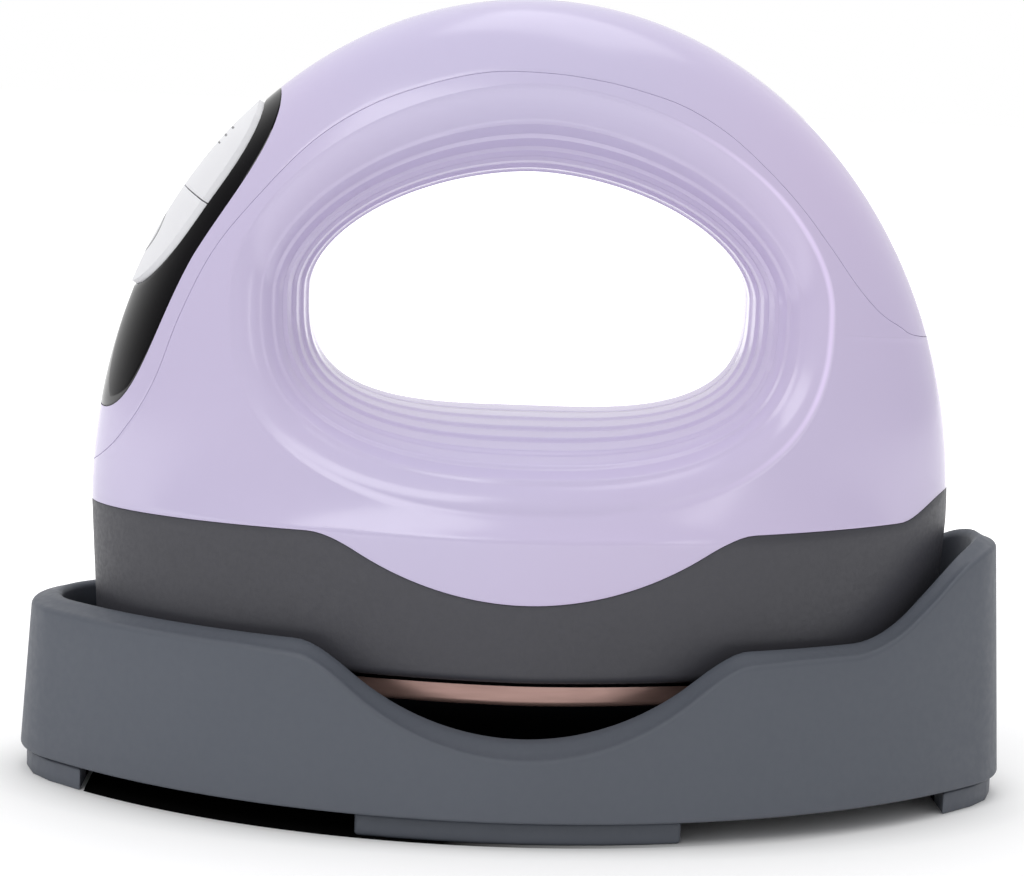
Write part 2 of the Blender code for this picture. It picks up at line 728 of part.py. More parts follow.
def make_shell(inner, name, side):
    shell = keep(duplicate(inner, name), half_space("half", side))
    for x, level in SHELL_SCREW_PLACES:
        seam = Vector((x, side * SEAM_GAP / 2, level))
        outside = Vector((x, side * (HALF_WIDTH + OVERRUN), level))
        post = rod("post", seam, outside, POST_RADIUS, ROUND_SIDES)
        keep(post, body_solid("middle_of_wall", BODY_WALL / 2, DECK_LEVEL))
        join(shell, post)
        if side > 0:
            shoulder = Vector((x, SHELL_SCREW_SHOULDER, level))
            cut(shell, rod("head_space", shoulder, outside, SCREW_HEAD_RADIUS + TOUCH_GAP, ROUND_SIDES))
            cut(shell, rod("hole", seam - SIDEWAYS * OVERRUN, outside, SCREW_HOLE_RADIUS, SMALL_SIDES))
        else:
            end = seam - SIDEWAYS * PILOT_DEPTH
            cut(shell, rod("pilot", seam + SIDEWAYS * OVERRUN, end, SCREW_HOLE_RADIUS, SMALL_SIDES))
    for x in (-SKIRT_POST_X, SKIRT_POST_X):
        join(shell, skirt_lug(x, side * SKIRT_POST_Y))
    join(shell, board_rib(side))
    if side > 0:
        start = gland_seat() + gland_outward() * OVERRUN
        end = gland_seat() - gland_outward() * 2 * OVERRUN
        cut(shell, rod("gland_hole", start, end, GLAND_RADIUS + TOUCH_GAP, ROUND_SIDES))
    return shell


def make_top_cover(upper):
    cover = keep(duplicate(upper, "top_cover"), above_cover_seam(SEAM_GAP / 2))
    return cut(cover, panel_cut(SEAM_GAP / 2))


def make_panel(upper):
    panel = keep(duplicate(upper, "control_panel"), panel_cut(-SEAM_GAP / 2))
    cut(panel, keys_cut(0))
    for side in (-1, 1):
        y = side * BOARD_POST_Y
        start = panel_point(BOARD_POST_SHIFT, y, panel_depth(BOARD_POST_SHIFT, y, BODY_WALL / 2))
        end = panel_point(BOARD_POST_SHIFT, y, CONTROL_DEPTH - TOUCH_GAP)
        join(panel, rod("post", start, end, BOARD_POST_RADIUS, SMALL_SIDES))
        pilot = end - PANEL_INWARD * BOARD_PILOT_DEPTH
        cut(panel, rod("pilot", pilot, end + PANEL_INWARD * OVERRUN, SCREW_HOLE_RADIUS, SMALL_SIDES))
    return panel


def make_key(name, side):
    """One half of the keys' oval, with a flange under the panel and a stem over its switch."""
    key = keep(body_solid(name, -KEY_PROUD, WIDEST_LEVEL), keys_cut(-KEY_GAP))
    flange = body_solid("flange", BODY_WALL + TOUCH_GAP, WIDEST_LEVEL)
    join(key, keep(flange, keys_cut(KEY_FLANGE)))
    cut(key, body_solid("inside", KEY_THICKNESS, WIDEST_LEVEL))
    size = Vector((KEYS_LENGTH, KEYS_LENGTH, 2 * PANEL_CUT_DEPTH))
    middle = panel_point(KEYS_SHIFT + side * (KEY_GAP / 2 + size.x / 2))
    keep(key, box("half", middle, size, panel_turn()))
    shift = KEYS_SHIFT + side * KEY_STEM_OFFSET
    start = panel_point(shift, 0, panel_depth(shift, 0, KEY_THICKNESS) - KEY_FLANGE)
    end = panel_point(shift, 0, switch_top() - KEY_TRAVEL - TOUCH_GAP)
    return join(key, rod("stem", start, end, KEY_STEM_RADIUS, SMALL_SIDES))


def switch_top():
    return CONTROL_DEPTH - TOUCH_GAP - SWITCH_HEIGHT - SWITCH_BUTTON_HEIGHT


# Heat plate and what lies on it

def make_heat_plate():
    core_inset = BODY_WALL + PLATE_CORE_CLEARANCE
    rings = [
        body_section_at(PLATE_LEVEL, PLATE_INSET + PLATE_EDGE_FILLET),
        body_section_at(PLATE_LEVEL + PLATE_EDGE_FILLET, PLATE_INSET),
        body_section_at(FLANGE_LEVEL, PLATE_INSET),
        body_section_at(FLANGE_LEVEL, core_inset),
        body_section_at(CORE_LEVEL, core_inset),
    ]
    plate = skin("heat_plate", rings)
    neck = SHIELD_LEVEL - TOUCH_GAP - CORE_LEVEL
    tip = DECK_LEVEL - TOUCH_GAP - CORE_LEVEL
    for x, y in corners(BOSS_X, BOSS_Y):
        foot = Vector((x, y, CORE_LEVEL))
        profile = [
            (-PLATE_FLANGE, BOSS_RADIUS),
            (neck, BOSS_RADIUS),
            (neck, BOSS_NECK_RADIUS),
            (tip, BOSS_NECK_RADIUS),
        ]
        join(plate, turned("boss", foot, UP, profile, ROUND_SIDES))
        top = foot + UP * (tip + OVERRUN)
        cut(plate, rod("pilot", foot + UP * (tip - PILOT_DEPTH), top, SCREW_HOLE_RADIUS, SMALL_SIDES))
    return plate


def body_section_at(level, inset):
    """The skirt's lowest section set in by inset, at any level."""
    return [Vector((point.x, point.y, level)) for point in body_section(SKIRT_LEVEL, inset)]


def make_heating_element():
    path = [Vector((ELEMENT_LEG_X, -ELEMENT_SPREAD, ELEMENT_LEVEL))]
    for step in range(ELEMENT_BEND_STEPS + 1):
        turn = -pi / 2 - pi * step / ELEMENT_BEND_STEPS
        x = -ELEMENT_BEND_X + ELEMENT_SPREAD * cos(turn)
        path.append(Vector((x, ELEMENT_SPREAD * sin(turn), ELEMENT_LEVEL)))
    path.append(Vector((ELEMENT_LEG_X, ELEMENT_SPREAD, ELEMENT_LEVEL)))
    return tube_along("heating_element", path, ELEMENT_RADIUS, SMALL_SIDES)


def make_sheet(name, level, thickness):
    """A flat sheet over the element, with a hole for each of the plate's bosses."""
    outline = []
    for angle in turn_angles(SHEET_SIDES):
        x, y = oval_point(angle, SHIELD_HALF_LENGTH, SHIELD_HALF_WIDTH, SHIELD_EXPONENT)
        outline.append(Vector((x, y, 0)))
    sheet = prism(name, outline, UP, level, level + thickness)
    for x, y in corners(BOSS_X, BOSS_Y):
        hole = rod("hole", Vector((x, y, CORE_LEVEL)), Vector((x, y, DECK_TOP)),
                   BOSS_NECK_RADIUS + SHIELD_HOLE_CLEARANCE, SMALL_SIDES)
        cut(sheet, hole)
    return sheet


def make_thermistor():
    middle = Vector((SENSOR_X, 0, CORE_LEVEL + TOUCH_GAP + THERMISTOR_RADIUS))
    reach = SIDEWAYS * THERMISTOR_LENGTH / 2
    return rod("thermistor", middle - reach, middle + reach, THERMISTOR_RADIUS, SMALL_SIDES)


def make_thermal_fuse():
    middle = Vector((-SENSOR_X, 0, CORE_LEVEL + TOUCH_GAP + FUSE_RADIUS))
    reach = Vector((FUSE_LENGTH / 2, 0, 0))
    profile = [
        (0, FUSE_RADIUS / 2),
        (FUSE_LENGTH / 5, FUSE_RADIUS / 2),
        (FUSE_LENGTH / 5, FUSE_RADIUS),
        (FUSE_LENGTH * 4 / 5, FUSE_RADIUS),
        (FUSE_LENGTH * 4 / 5, FUSE_RADIUS / 2),
        (FUSE_LENGTH, FUSE_RADIUS / 2),
    ]
    return turned("thermal_fuse", middle - reach, reach, profile, SMALL_SIDES)


def make_element_lead(name, side):
    leg_end = Vector((ELEMENT_LEG_X + TOUCH_GAP, side * ELEMENT_SPREAD, ELEMENT_LEVEL))
    lead_y = side * SLOT_WIDTH / 3
    terminal_x = TERMINAL_X + TERMINAL_SIZE[0] / 2 + TOUCH_GAP
    terminal = Vector((terminal_x, lead_y, BOARD_TOP + TERMINAL_SIZE[2] / 2))
    below = Vector((SLOT_X, lead_y, DECK_LEVEL))
    above = Vector((SLOT_X, lead_y, DECK_TOP + TERMINAL_SIZE[2] / 2))
    places = [
        leg_end,
        leg_end + Vector((ELEMENT_RADIUS, 0, 0)),
        below,
        above,
        Vector(((above.x + BOARD_LENGTH / 2) / 2 + LEAD_RADIUS, lead_y, terminal.z - LEAD_RADIUS)),
        terminal,
    ]
    return tube_along(name, smooth_path(places, LEAD_STEPS), LEAD_RADIUS, LEAD_SIDES)


# Boards inside the body

def make_control_board():
    middle = panel_point(CONTROL_SHIFT, 0, CONTROL_DEPTH + CONTROL_THICKNESS / 2)
    board = box("control_board", middle, (CONTROL_LENGTH, CONTROL_WIDTH, CONTROL_THICKNESS), panel_turn())
    for side in (-1, 1):
        y = side * BOARD_POST_Y
        front = panel_point(BOARD_POST_SHIFT, y, CONTROL_DEPTH - OVERRUN)
        back = panel_point(BOARD_POST_SHIFT, y, CONTROL_DEPTH + OVERRUN)
        cut(board, rod("hole", front, back, SCREW_HOLE_RADIUS, SMALL_SIDES))
    return board


def make_switch(name, side):
    shift = KEYS_SHIFT + side * KEY_STEM_OFFSET
    foot = CONTROL_DEPTH - TOUCH_GAP
    middle = panel_point(shift, 0, foot - SWITCH_HEIGHT / 2)
    switch = box(name, middle, (SWITCH_SIZE, SWITCH_SIZE, SWITCH_HEIGHT), panel_turn())
    end = panel_point(shift, 0, switch_top())
    return join(switch, rod("button", middle, end, SWITCH_BUTTON_RADIUS, SMALL_SIDES))


def make_led(name, index):
    foot = panel_point(LED_START - index * LED_PITCH, 0, CONTROL_DEPTH - TOUCH_GAP)
    profile = [(0, LED_RADIUS), (LED_HEIGHT * 2 / 3, LED_RADIUS), (LED_HEIGHT, LED_RADIUS / 3)]
    return turned(name, foot, -PANEL_INWARD, profile, SMALL_SIDES)


def make_ribbon():
    """The flat cable from the back of the control board down to the power board."""
    start = panel_point(RIBBON_SHIFT, 0, CONTROL_DEPTH + CONTROL_THICKNESS + TOUCH_GAP)
    end = Vector((HEADER_X, 0, BOARD_TOP + HEADER_SIZE[2] + 2 * TOUCH_GAP))
    bend = RIBBON_WIDTH / 2
    places = [start, start + PANEL_INWARD * bend, (start + end) / 2 + UP * bend / 2, end + UP * bend, end]
    path = smooth_path(places, RIBBON_STEPS)
    half = RIBBON_WIDTH / 2
    outline = offset_path(path, RIBBON_THICKNESS / 2)
    outline += reversed(offset_path(path, -RIBBON_THICKNESS / 2))
    return prism("ribbon_cable", outline, SIDEWAYS, -half, half)


def make_power_board():
    middle = Vector((0, 0, BOARD_LEVEL + BOARD_THICKNESS / 2))
    board = box("power_board", middle, (BOARD_LENGTH, BOARD_WIDTH, BOARD_THICKNESS))
    for x, y in corners(BOARD_SCREW_X, BOARD_SCREW_Y):
        start = Vector((x, y, BOARD_LEVEL - OVERRUN))
        end = Vector((x, y, BOARD_TOP + OVERRUN))
        cut(board, rod("hole", start, end, SCREW_HOLE_RADIUS, SMALL_SIDES))
    header = Vector(HEADER_SIZE) + UP * BOARD_THICKNESS / 2
    place = Vector((HEADER_X, 0, BOARD_TOP + HEADER_SIZE[2] - header.z / 2))
    return join(board, box("header", place, header))


def on_board(x, height):
    return Vector((x, 0, BOARD_TOP + TOUCH_GAP + height / 2))


def make_transformer():
    length, width, height = TRANSFORMER_SIZE
    core = box("transformer", on_board(TRANSFORMER_X, height), (length / 2, width, height))
    bobbin = Vector((length, width * 2 / 3, height * 3 / 4))
    return join(core, box("bobbin", on_board(TRANSFORMER_X, height), bobbin))


def make_relay():
    return box("relay", on_board(RELAY_X, RELAY_SIZE[2]), RELAY_SIZE)


def make_capacitor():
    middle = on_board(CAPACITOR_X, 2 * CAPACITOR_RADIUS)
    reach = SIDEWAYS * CAPACITOR_LENGTH / 2
    return rod("capacitor", middle - reach, middle + reach, CAPACITOR_RADIUS, ROUND_SIDES)


def make_terminal_block():
    block = box("terminal_block", on_board(TERMINAL_X, TERMINAL_SIZE[2]), TERMINAL_SIZE)
    for side in (-1, 1):
        x = TERMINAL_X
        y = side * TERMINAL_SIZE[1] / 4
        top = BOARD_TOP + TOUCH_GAP + TERMINAL_SIZE[2]
        sink = Vector((x, y, top - SCREW_HEAD_HEIGHT))
        cut(block, rod("sink", sink, sink + UP * OVERRUN, SCREW_HEAD_RADIUS, SMALL_SIDES))
    return block


# Cord gland and clamp

def gland_seat():
    level = WIDEST_LEVEL + GLAND_RISE
    return Vector((GLAND_X, body_depth(GLAND_X, level), level))


def gland_outward():
    """The direction square to the body's surface at the gland."""
    seat = gland_seat()
    step = BODY_WALL / 4
    slope_x = (body_depth(seat.x + step, seat.z) - body_depth(seat.x - step, seat.z)) / (2 * step)
    slope_z = (body_depth(seat.x, seat.z + step) - body_depth(seat.x, seat.z - step)) / (2 * step)
    return Vector((-slope_x, 1, -slope_z)).normalized()


def make_gland():
    seat = GLAND_PROUD + BODY_WALL + GLAND_SETBACK
    profile = [
        (GLAND_RECESS_DEPTH, 0),
        (GLAND_RECESS_DEPTH, GLAND_RECESS_RADIUS),
        (0, GLAND_RECESS_RADIUS),
        (0, GLAND_RADIUS - GLAND_PROUD / 2),
        (GLAND_PROUD / 2, GLAND_RADIUS),
        (seat, GLAND_RADIUS),
        (seat, GLAND_RADIUS + GLAND_FLANGE),
        (seat + GLAND_FLANGE_THICKNESS, GLAND_RADIUS + GLAND_FLANGE),
        (seat + GLAND_FLANGE_THICKNESS, 0),
    ]
    mouth = gland_seat() + gland_outward() * GLAND_PROUD
    return turned("cord_gland", mouth, -gland_outward(), profile, ROUND_SIDES)


def make_cord_clamp():
    length, width, height = CLAMP_SIZE
    middle = Vector((CLAMP_X, 0, DECK_TOP + TOUCH_GAP + height / 2))
    clamp = box("cord_clamp", middle, CLAMP_SIZE)
    groove = Vector((length, 0, 0))
    low = middle - UP * height / 2
    cut(clamp, rod("groove", low - groove, low + groove, CLAMP_GROOVE_RADIUS, ROUND_SIDES))
    for side in (-1, 1):
        foot = low + SIDEWAYS * side * CLAMP_SCREW_Y
        top = foot + UP * (height + OVERRUN)
        cut(clamp, rod("hole", foot - UP * OVERRUN, top, SCREW_HOLE_RADIUS, SMALL_SIDES))
    return clamp


# Screws

def make_screw(name, under_head, along, length):
    """A pan-head screw whose shaft runs along a direction from under its head."""
    profile = [
        (-SCREW_HEAD_HEIGHT, SCREW_HEAD_RADIUS * 3 / 4),
        (0, SCREW_HEAD_RADIUS),
        (0, SCREW_RADIUS),
        (length, SCREW_RADIUS * 3 / 4),
    ]
    screw = turned(name, under_head, along, profile, SMALL_SIDES)
    direction = along.normalized()
    across = direction.orthogonal().normalized()
    turn = Matrix((across, direction.cross(across), direction)).transposed()
    top = under_head - direction * SCREW_HEAD_HEIGHT
    slot = Vector((2 * SCREW_HEAD_RADIUS, SCREW_SLOT_WIDTH, 2 * SCREW_SLOT_DEPTH))
    return cut(screw, box("slot", top, slot, turn))


def make_screws():
    screws = []
    for index, (x, y) in enumerate(corners(BOSS_X, BOSS_Y), 1):
        seat = Vector((x, y, DECK_TOP + TOUCH_GAP))
        length = DECK_THICKNESS + TOUCH_GAP + PILOT_DEPTH
        screws.append(make_screw(f"plate_screw_{index}", seat, -UP, length))
    for index, (x, y) in enumerate(corners(SKIRT_POST_X, SKIRT_POST_Y), 1):
        seat = Vector((x, y, DECK_LEVEL - TOUCH_GAP))
        length = DECK_THICKNESS + TOUCH_GAP + PILOT_DEPTH
        screws.append(make_screw(f"skirt_screw_{index}", seat, UP, length))
    for index, (x, level) in enumerate(SHELL_SCREW_PLACES, 1):
        seat = Vector((x, SHELL_SCREW_SHOULDER + TOUCH_GAP, level))
        length = SHELL_SCREW_SHOULDER + PILOT_DEPTH
        screws.append(make_screw(f"shell_screw_{index}", seat, -SIDEWAYS, length))
    for index, (x, y) in enumerate(corners(BOARD_SCREW_X, BOARD_SCREW_Y), 1):
        seat = Vector((x, y, BOARD_TOP + TOUCH_GAP))
        length = BOARD_THICKNESS + BOARD_PILOT_DEPTH
        screws.append(make_screw(f"board_screw_{index}", seat, -UP, length))
    under_head = CONTROL_DEPTH + CONTROL_THICKNESS + TOUCH_GAP
    for index, side in enumerate((-1, 1), 1):
        seat = panel_point(BOARD_POST_SHIFT, side * BOARD_POST_Y, under_head)
        length = CONTROL_THICKNESS + BOARD_PILOT_DEPTH
        screws.append(make_screw(f"control_screw_{index}", seat, -PANEL_INWARD, length))
    for index, side in enumerate((-1, 1), 1):
        seat = Vector((CLAMP_X, side * CLAMP_SCREW_Y, DECK_TOP + 2 * TOUCH_GAP + CLAMP_SIZE[2]))
        length = CLAMP_SIZE[2] + DECK_THICKNESS
        screws.append(make_screw(f"clamp_screw_{index}", seat, -UP, length))
    return screws


def corners(x, y):
    return [(-x, -y), (x, -y), (x, y), (-x, y)]


# Stand

def stand_plan(inset):
    """The stand's leaf-shaped outline from above, set in by inset, as points with z at zero."""
    half_long = STAND_LENGTH / 2
    half_wide = STAND_WIDTH / 2
    tip_x = half_long - STAND_TIP_RADIUS
    side_radius = (tip_x ** 2 + half_wide ** 2 - STAND_TIP_RADIUS ** 2) / (2 * (half_wide - STAND_TIP_RADIUS))
    side_y = side_radius - half_wide
    side_turn = atan2(tip_x, side_y)
    tip_turn = pi / 2 - side_turn
    stretches = (
        (-tip_turn, tip_turn, STAND_TIP_STEPS, Vector((tip_x, 0, 0)), STAND_TIP_RADIUS),
        (tip_turn, pi - tip_turn, STAND_SIDE_STEPS, Vector((0, -side_y, 0)), side_radius),
        (pi - tip_turn, pi + tip_turn, STAND_TIP_STEPS, Vector((-tip_x, 0, 0)), STAND_TIP_RADIUS),
        (pi + tip_turn, 2 * pi - tip_turn, STAND_SIDE_STEPS, Vector((0, side_y, 0)), side_radius),
    )
    outline = []
    for start, end, steps, center, radius in stretches:
        for step in range(steps):
            turn = start + (end - start) * step / steps
            outline.append(center + Vector((cos(turn), sin(turn), 0)) * (radius - inset))
    return outline


def rim_level(x):
    """Level of the stand's rim: low along its sides, dipped at the front and back, tall at one end."""
    ramp = RIM_HEIGHT + (x - RAMP_START) * RAMP_SLOPE
    height = soft_min(soft_max(RIM_HEIGHT, ramp, RIM_BLEND), END_HEIGHT, RIM_BLEND)
    if abs(x) < DIP_RADIUS:
        dip = DIP_HEIGHT + DIP_RADIUS - sqrt(DIP_RADIUS ** 2 - x * x)
        height = soft_min(height, dip, RIM_BLEND)
    return FOOT_HEIGHT + height


def stand_draft(level):
    return STAND_DRAFT * (level - FOOT_HEIGHT) / STAND_DRAFT_HEIGHT


def rim_ring(inset, drop, drafted=True):
    """A ring of points that follows the rim, set in from the outside by inset and down by drop."""
    ring = []
    for index, point in enumerate(stand_plan(0)):
        level = rim_level(point.x) - drop
        depth = inset + (stand_draft(level) if drafted else 0)
        inner = stand_plan(depth)[index]
        ring.append(Vector((inner.x, inner.y, rim_level(inner.x) - drop)))
    return ring


def flat_ring(inset, level):
    return [Vector((point.x, point.y, level)) for point in stand_plan(inset)]


def make_stand_tray():
    inner = STAND_DRAFT + STAND_WALL
    edge_share = 0.3
    edge = STAND_RIM_FILLET * edge_share
    floor_edge = STAND_FLOOR_FILLET * edge_share
    rings = [
        flat_ring(STAND_BOTTOM_FILLET, FOOT_HEIGHT),
        flat_ring(0, FOOT_HEIGHT + STAND_BOTTOM_FILLET),
        rim_ring(0, STAND_RIM_FILLET),
        rim_ring(edge, edge),
        rim_ring(STAND_RIM_FILLET, 0),
        rim_ring(inner - edge, 0, False),
        rim_ring(inner, edge, False),
        flat_ring(inner, STAND_FLOOR_LEVEL + STAND_FLOOR_FILLET),
        flat_ring(inner + floor_edge, STAND_FLOOR_LEVEL + floor_edge),
        flat_ring(inner + STAND_FLOOR_FILLET, STAND_FLOOR_LEVEL),
    ]
    tray = skin("stand_tray", rings)
    for x, y in corners(REST_X, REST_Y):
        foot = Vector((x, y, STAND_FLOOR_LEVEL - STAND_FLOOR / 2))
        join(tray, rod("rest", foot, Vector((x, y, REST_LEVEL)), REST_RADIUS, ROUND_SIDES))
    return tray


def make_foot(name, middle, size):
    """A part of the stand's outline under its floor, cut out by an upright box."""
    foot = prism(name, stand_plan(STAND_BOTTOM_FILLET + FOOT_INSET), UP, 0, FOOT_HEIGHT - TOUCH_GAP)
    return keep(foot, box("part", Vector(middle), Vector(size)))


def make_feet():
    tall = 4 * FOOT_HEIGHT
    front = STAND_WIDTH / 2 - FOOT_FRONT_DEPTH / 2
    end = STAND_LENGTH / 2 - FOOT_END_DEPTH / 2
    feet = []
    for name, side in (("stand_foot_front", -1), ("stand_foot_back", 1)):
        feet.append(make_foot(name, (0, side * front, 0), (FOOT_FRONT_LENGTH, FOOT_FRONT_DEPTH, tall)))
    for name, side in (("stand_foot_left", -1), ("stand_foot_right", 1)):
        feet.append(make_foot(name, (side * end, 0, 0), (FOOT_END_DEPTH, STAND_WIDTH, tall)))
    return feet


def make_rest_pads():
    pads = []
    for index, (x, y) in enumerate(corners(REST_X, REST_Y), 1):
        foot = Vector((x, y, REST_LEVEL + TOUCH_GAP))
        edge = REST_PAD_HEIGHT / 4
        profile = [
            (0, REST_RADIUS),
            (REST_PAD_HEIGHT - edge, REST_RADIUS),
            (REST_PAD_HEIGHT, REST_RADIUS - edge),
        ]
        pads.append(turned(f"rest_pad_{index}", foot, UP, profile, ROUND_SIDES))
    return pads


# Materials and assembly

FINISHES = {
    "lilac_plastic": ((0.62, 0.56, 0.76), 0.32, 0.0),
    "charcoal_plastic": ((0.076, 0.074, 0.088), 0.5, 0.0),
    "stand_plastic": ((0.105, 0.118, 0.14), 0.55, 0.0),
    "gloss_black": ((0.006, 0.006, 0.007), 0.08, 0.0),
    "key_white": ((0.80, 0.80, 0.83), 0.35, 0.0),
    "coated_plate": ((0.52, 0.30, 0.24), 0.35, 0.6),
    "steel": ((0.55, 0.55, 0.56), 0.3, 1.0),
    "silicone": ((0.06, 0.065, 0.075), 0.7, 0.0),
    "board_green": ((0.03, 0.19, 0.09), 0.45, 0.0),
    "black_plastic": ((0.02, 0.02, 0.022), 0.45, 0.0),
    "white_insulation": ((0.75, 0.74, 0.70), 0.8, 0.0),
    "red_insulation": ((0.45, 0.04, 0.03), 0.5, 0.0),
    "clear_green": ((0.15, 0.55, 0.22), 0.2, 0.0),
    "blue_plastic": ((0.03, 0.10, 0.35), 0.45, 0.0),
}


def finish(piece, finish_name, origin=None, parent=None):
    """Give a piece its material, its smooth shading, its origin and its parent."""
    material = bpy.data.materials.new(piece.name)
    material.use_nodes = True
    color, roughness, metallic = FINISHES[finish_name]
    shader = material.node_tree.nodes["Principled BSDF"]
    shader.inputs["Base Color"].default_value = (*color, 1)
    shader.inputs["Roughness"].default_value = roughness
    shader.inputs["Metallic"].default_value = metallic
    piece.data.materials.clear()
    piece.data.materials.append(material)
    piece.data.shade_smooth()
    piece.data.set_sharp_from_angle(angle=SHARP_ANGLE)
    place = origin or Vector((0, 0, 0))
    piece.data.transform(Matrix.Translation(-place))
    piece.location = place
    if parent:
        piece.parent = parent
        piece.location = place - parent.location
    return piece


def make_stand():
    finish(make_stand_tray(), "stand_plastic")
    for foot in make_feet():
        finish(foot, "stand_plastic")
    for pad in make_rest_pads():
        finish(pad, "silicone")


def make_press():
    """Everything that lifts off the stand in one piece, carried by an empty on the lift's axis."""
    lift = bpy.data.objects.new("press_lift", None)
    lift.location = Vector((0, 0, PLATE_LEVEL))
    bpy.context.scene.collection.objects.link(lift)
    seat = lift.location.copy()
    wall = body_wall()
    skirt = make_skirt(wall)
    upper = cut(wall, below_seam(SEAM_GAP / 2))
    cover = make_top_cover(upper)
    panel = make_panel(upper)
    inner = cut(upper, above_cover_seam(-SEAM_GAP / 2))
    cut(inner, panel_cut(SEAM_GAP / 2))
    pieces = [
        (skirt, "charcoal_plastic"),
        (make_shell(inner, "front_shell", -1), "lilac_plastic"),
        (make_shell(inner, "back_shell", 1), "lilac_plastic"),
        (cover, "lilac_plastic"),
        (panel, "gloss_black"),
        (make_heat_plate(), "coated_plate"),
        (make_heating_element(), "steel"),
        (make_sheet("heat_shield", SHIELD_LEVEL, SHIELD_THICKNESS), "steel"),
        (make_sheet("insulation_pad", PAD_LEVEL, PAD_THICKNESS), "white_insulation"),
        (make_thermistor(), "black_plastic"),
        (make_thermal_fuse(), "steel"),
        (make_element_lead("element_lead_front", -1), "red_insulation"),
        (make_element_lead("element_lead_back", 1), "red_insulation"),
        (make_control_board(), "board_green"),
        (make_switch("power_switch", -1), "black_plastic"),
        (make_switch("heat_switch", 1), "black_plastic"),
        (make_ribbon(), "white_insulation"),
        (make_power_board(), "board_green"),
        (make_transformer(), "black_plastic"),
        (make_relay(), "blue_plastic"),
        (make_capacitor(), "black_plastic"),
        (make_terminal_block(), "board_green"),
        (make_gland(), "black_plastic"),
        (make_cord_clamp(), "black_plastic"),
    ]
    discard(inner)
    for index in range(LED_COUNT):
        pieces.append((make_led(f"indicator_led_{index + 1}", index), "clear_green"))
    pieces += [(screw, "steel") for screw in make_screws()]
    for piece, finish_name in pieces:
        finish(piece, finish_name, seat, lift)
    for name, side in (("power_key", -1), ("heat_key", 1)):
        origin = panel_point(KEYS_SHIFT + side * KEY_STEM_OFFSET)
        finish(make_key(name, side), "key_white", origin, lift)


def main():
    for piece in list(bpy.data.objects):
        bpy.data.objects.remove(piece, do_unlink=True)
    make_stand()
    make_press()


main()
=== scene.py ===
"""Visible pieces, finishes, light and camera for a mini handheld heat press on its stand.

Laid out as an add-on and run as a script. Lengths are metres, +Z is up, the long axis is X and the
front of the stand looks towards -Y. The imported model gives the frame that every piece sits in.
"""
from bisect import bisect_right
from functools import partial
from math import atan2, cos, exp, pi, radians, sin, sqrt

import bmesh
import bpy
from bpy.props import FloatProperty, FloatVectorProperty, PointerProperty
from mathutils import Matrix, Vector


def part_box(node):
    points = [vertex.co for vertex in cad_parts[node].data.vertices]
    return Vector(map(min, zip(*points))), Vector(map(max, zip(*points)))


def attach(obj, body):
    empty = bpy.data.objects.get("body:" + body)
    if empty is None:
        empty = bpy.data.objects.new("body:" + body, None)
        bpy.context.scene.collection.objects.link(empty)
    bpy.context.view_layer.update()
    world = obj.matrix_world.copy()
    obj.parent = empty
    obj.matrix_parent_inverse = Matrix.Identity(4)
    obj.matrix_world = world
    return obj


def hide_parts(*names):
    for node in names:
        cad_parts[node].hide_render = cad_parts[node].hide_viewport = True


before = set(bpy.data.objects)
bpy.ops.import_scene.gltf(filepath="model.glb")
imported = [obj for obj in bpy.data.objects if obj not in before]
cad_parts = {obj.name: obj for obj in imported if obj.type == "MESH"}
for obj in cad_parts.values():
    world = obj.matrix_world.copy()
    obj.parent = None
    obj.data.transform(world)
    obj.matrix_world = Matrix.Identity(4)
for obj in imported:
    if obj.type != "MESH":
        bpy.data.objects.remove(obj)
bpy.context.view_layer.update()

bl_info = {
    "name": "Heat press pieces",
    "version": (1, 0, 0),
    "blender": (4, 5, 0),
    "location": "View3D > Sidebar > Heat press",
    "description": "Builds the visible pieces of a mini heat press and its stand round the packed model",
    "category": "Object",
}

STAND_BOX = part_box("stand_tray")

MERGE_DISTANCE = 0.000001
PROFILE_OVERRUN = 0.003
SHARP_ANGLE = radians(38)

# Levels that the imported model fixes
FOOT_LEVEL = STAND_BOX[0][2]
FLOOR_LEVEL = FOOT_LEVEL + 0.0026
REST_LEVEL = 0.015
PLATE_LEVEL = 0.017
FLANGE_LEVEL = 0.0198
CORE_LEVEL = 0.022
SKIRT_LEVEL = 0.0204
DECK_LEVEL = 0.029
DECK_TOP = 0.031
WIDEST_LEVEL = 0.040

# Shape of the body's sections
SKIRT_DRAFT = 0.0011
WAIST_SHARE = 0.83
FLARE_HEIGHT = 0.0064
CROWN_SHARE = 0.09
CROWN_POWER = 8
FOOT_EXPONENT = 1.7
TOP_EXPONENT = 2.0
EXPONENT_HEIGHT = 0.0143

# Shape of the finger opening and of the ridge round it
OPENING_EXPONENTS = (1.8, 3.2)
RIDGE_EXPONENTS = (1.8, 2.6)
RIDGE_SETBACK = 0.0002
RIB_CREST_SHARES = (0.14, 0.27, 0.385, 0.50, 0.615, 0.73)
RIB_START_SHARE = 0.04
RIB_DROP_SHARE = 0.026
RIB_FADE_SHARES = (0.55, 0.80)
RIB_DEEP_SHARE = 0.4
RIB_DEEP_END_SHARE = 0.3

# Seam between the skirt and the lilac shells
TONGUE_DROP = 0.0089
TONGUE_RADIUS = 0.046
TONGUE_BLEND = 0.0025
SEAM_RISE = 0.0002
SEAM_SLOPE_SHARE = 0.018
SEAM_STEP = 0.0035
SEAM_STEP_START = 0.0525
SEAM_STEP_RUN = 0.0085

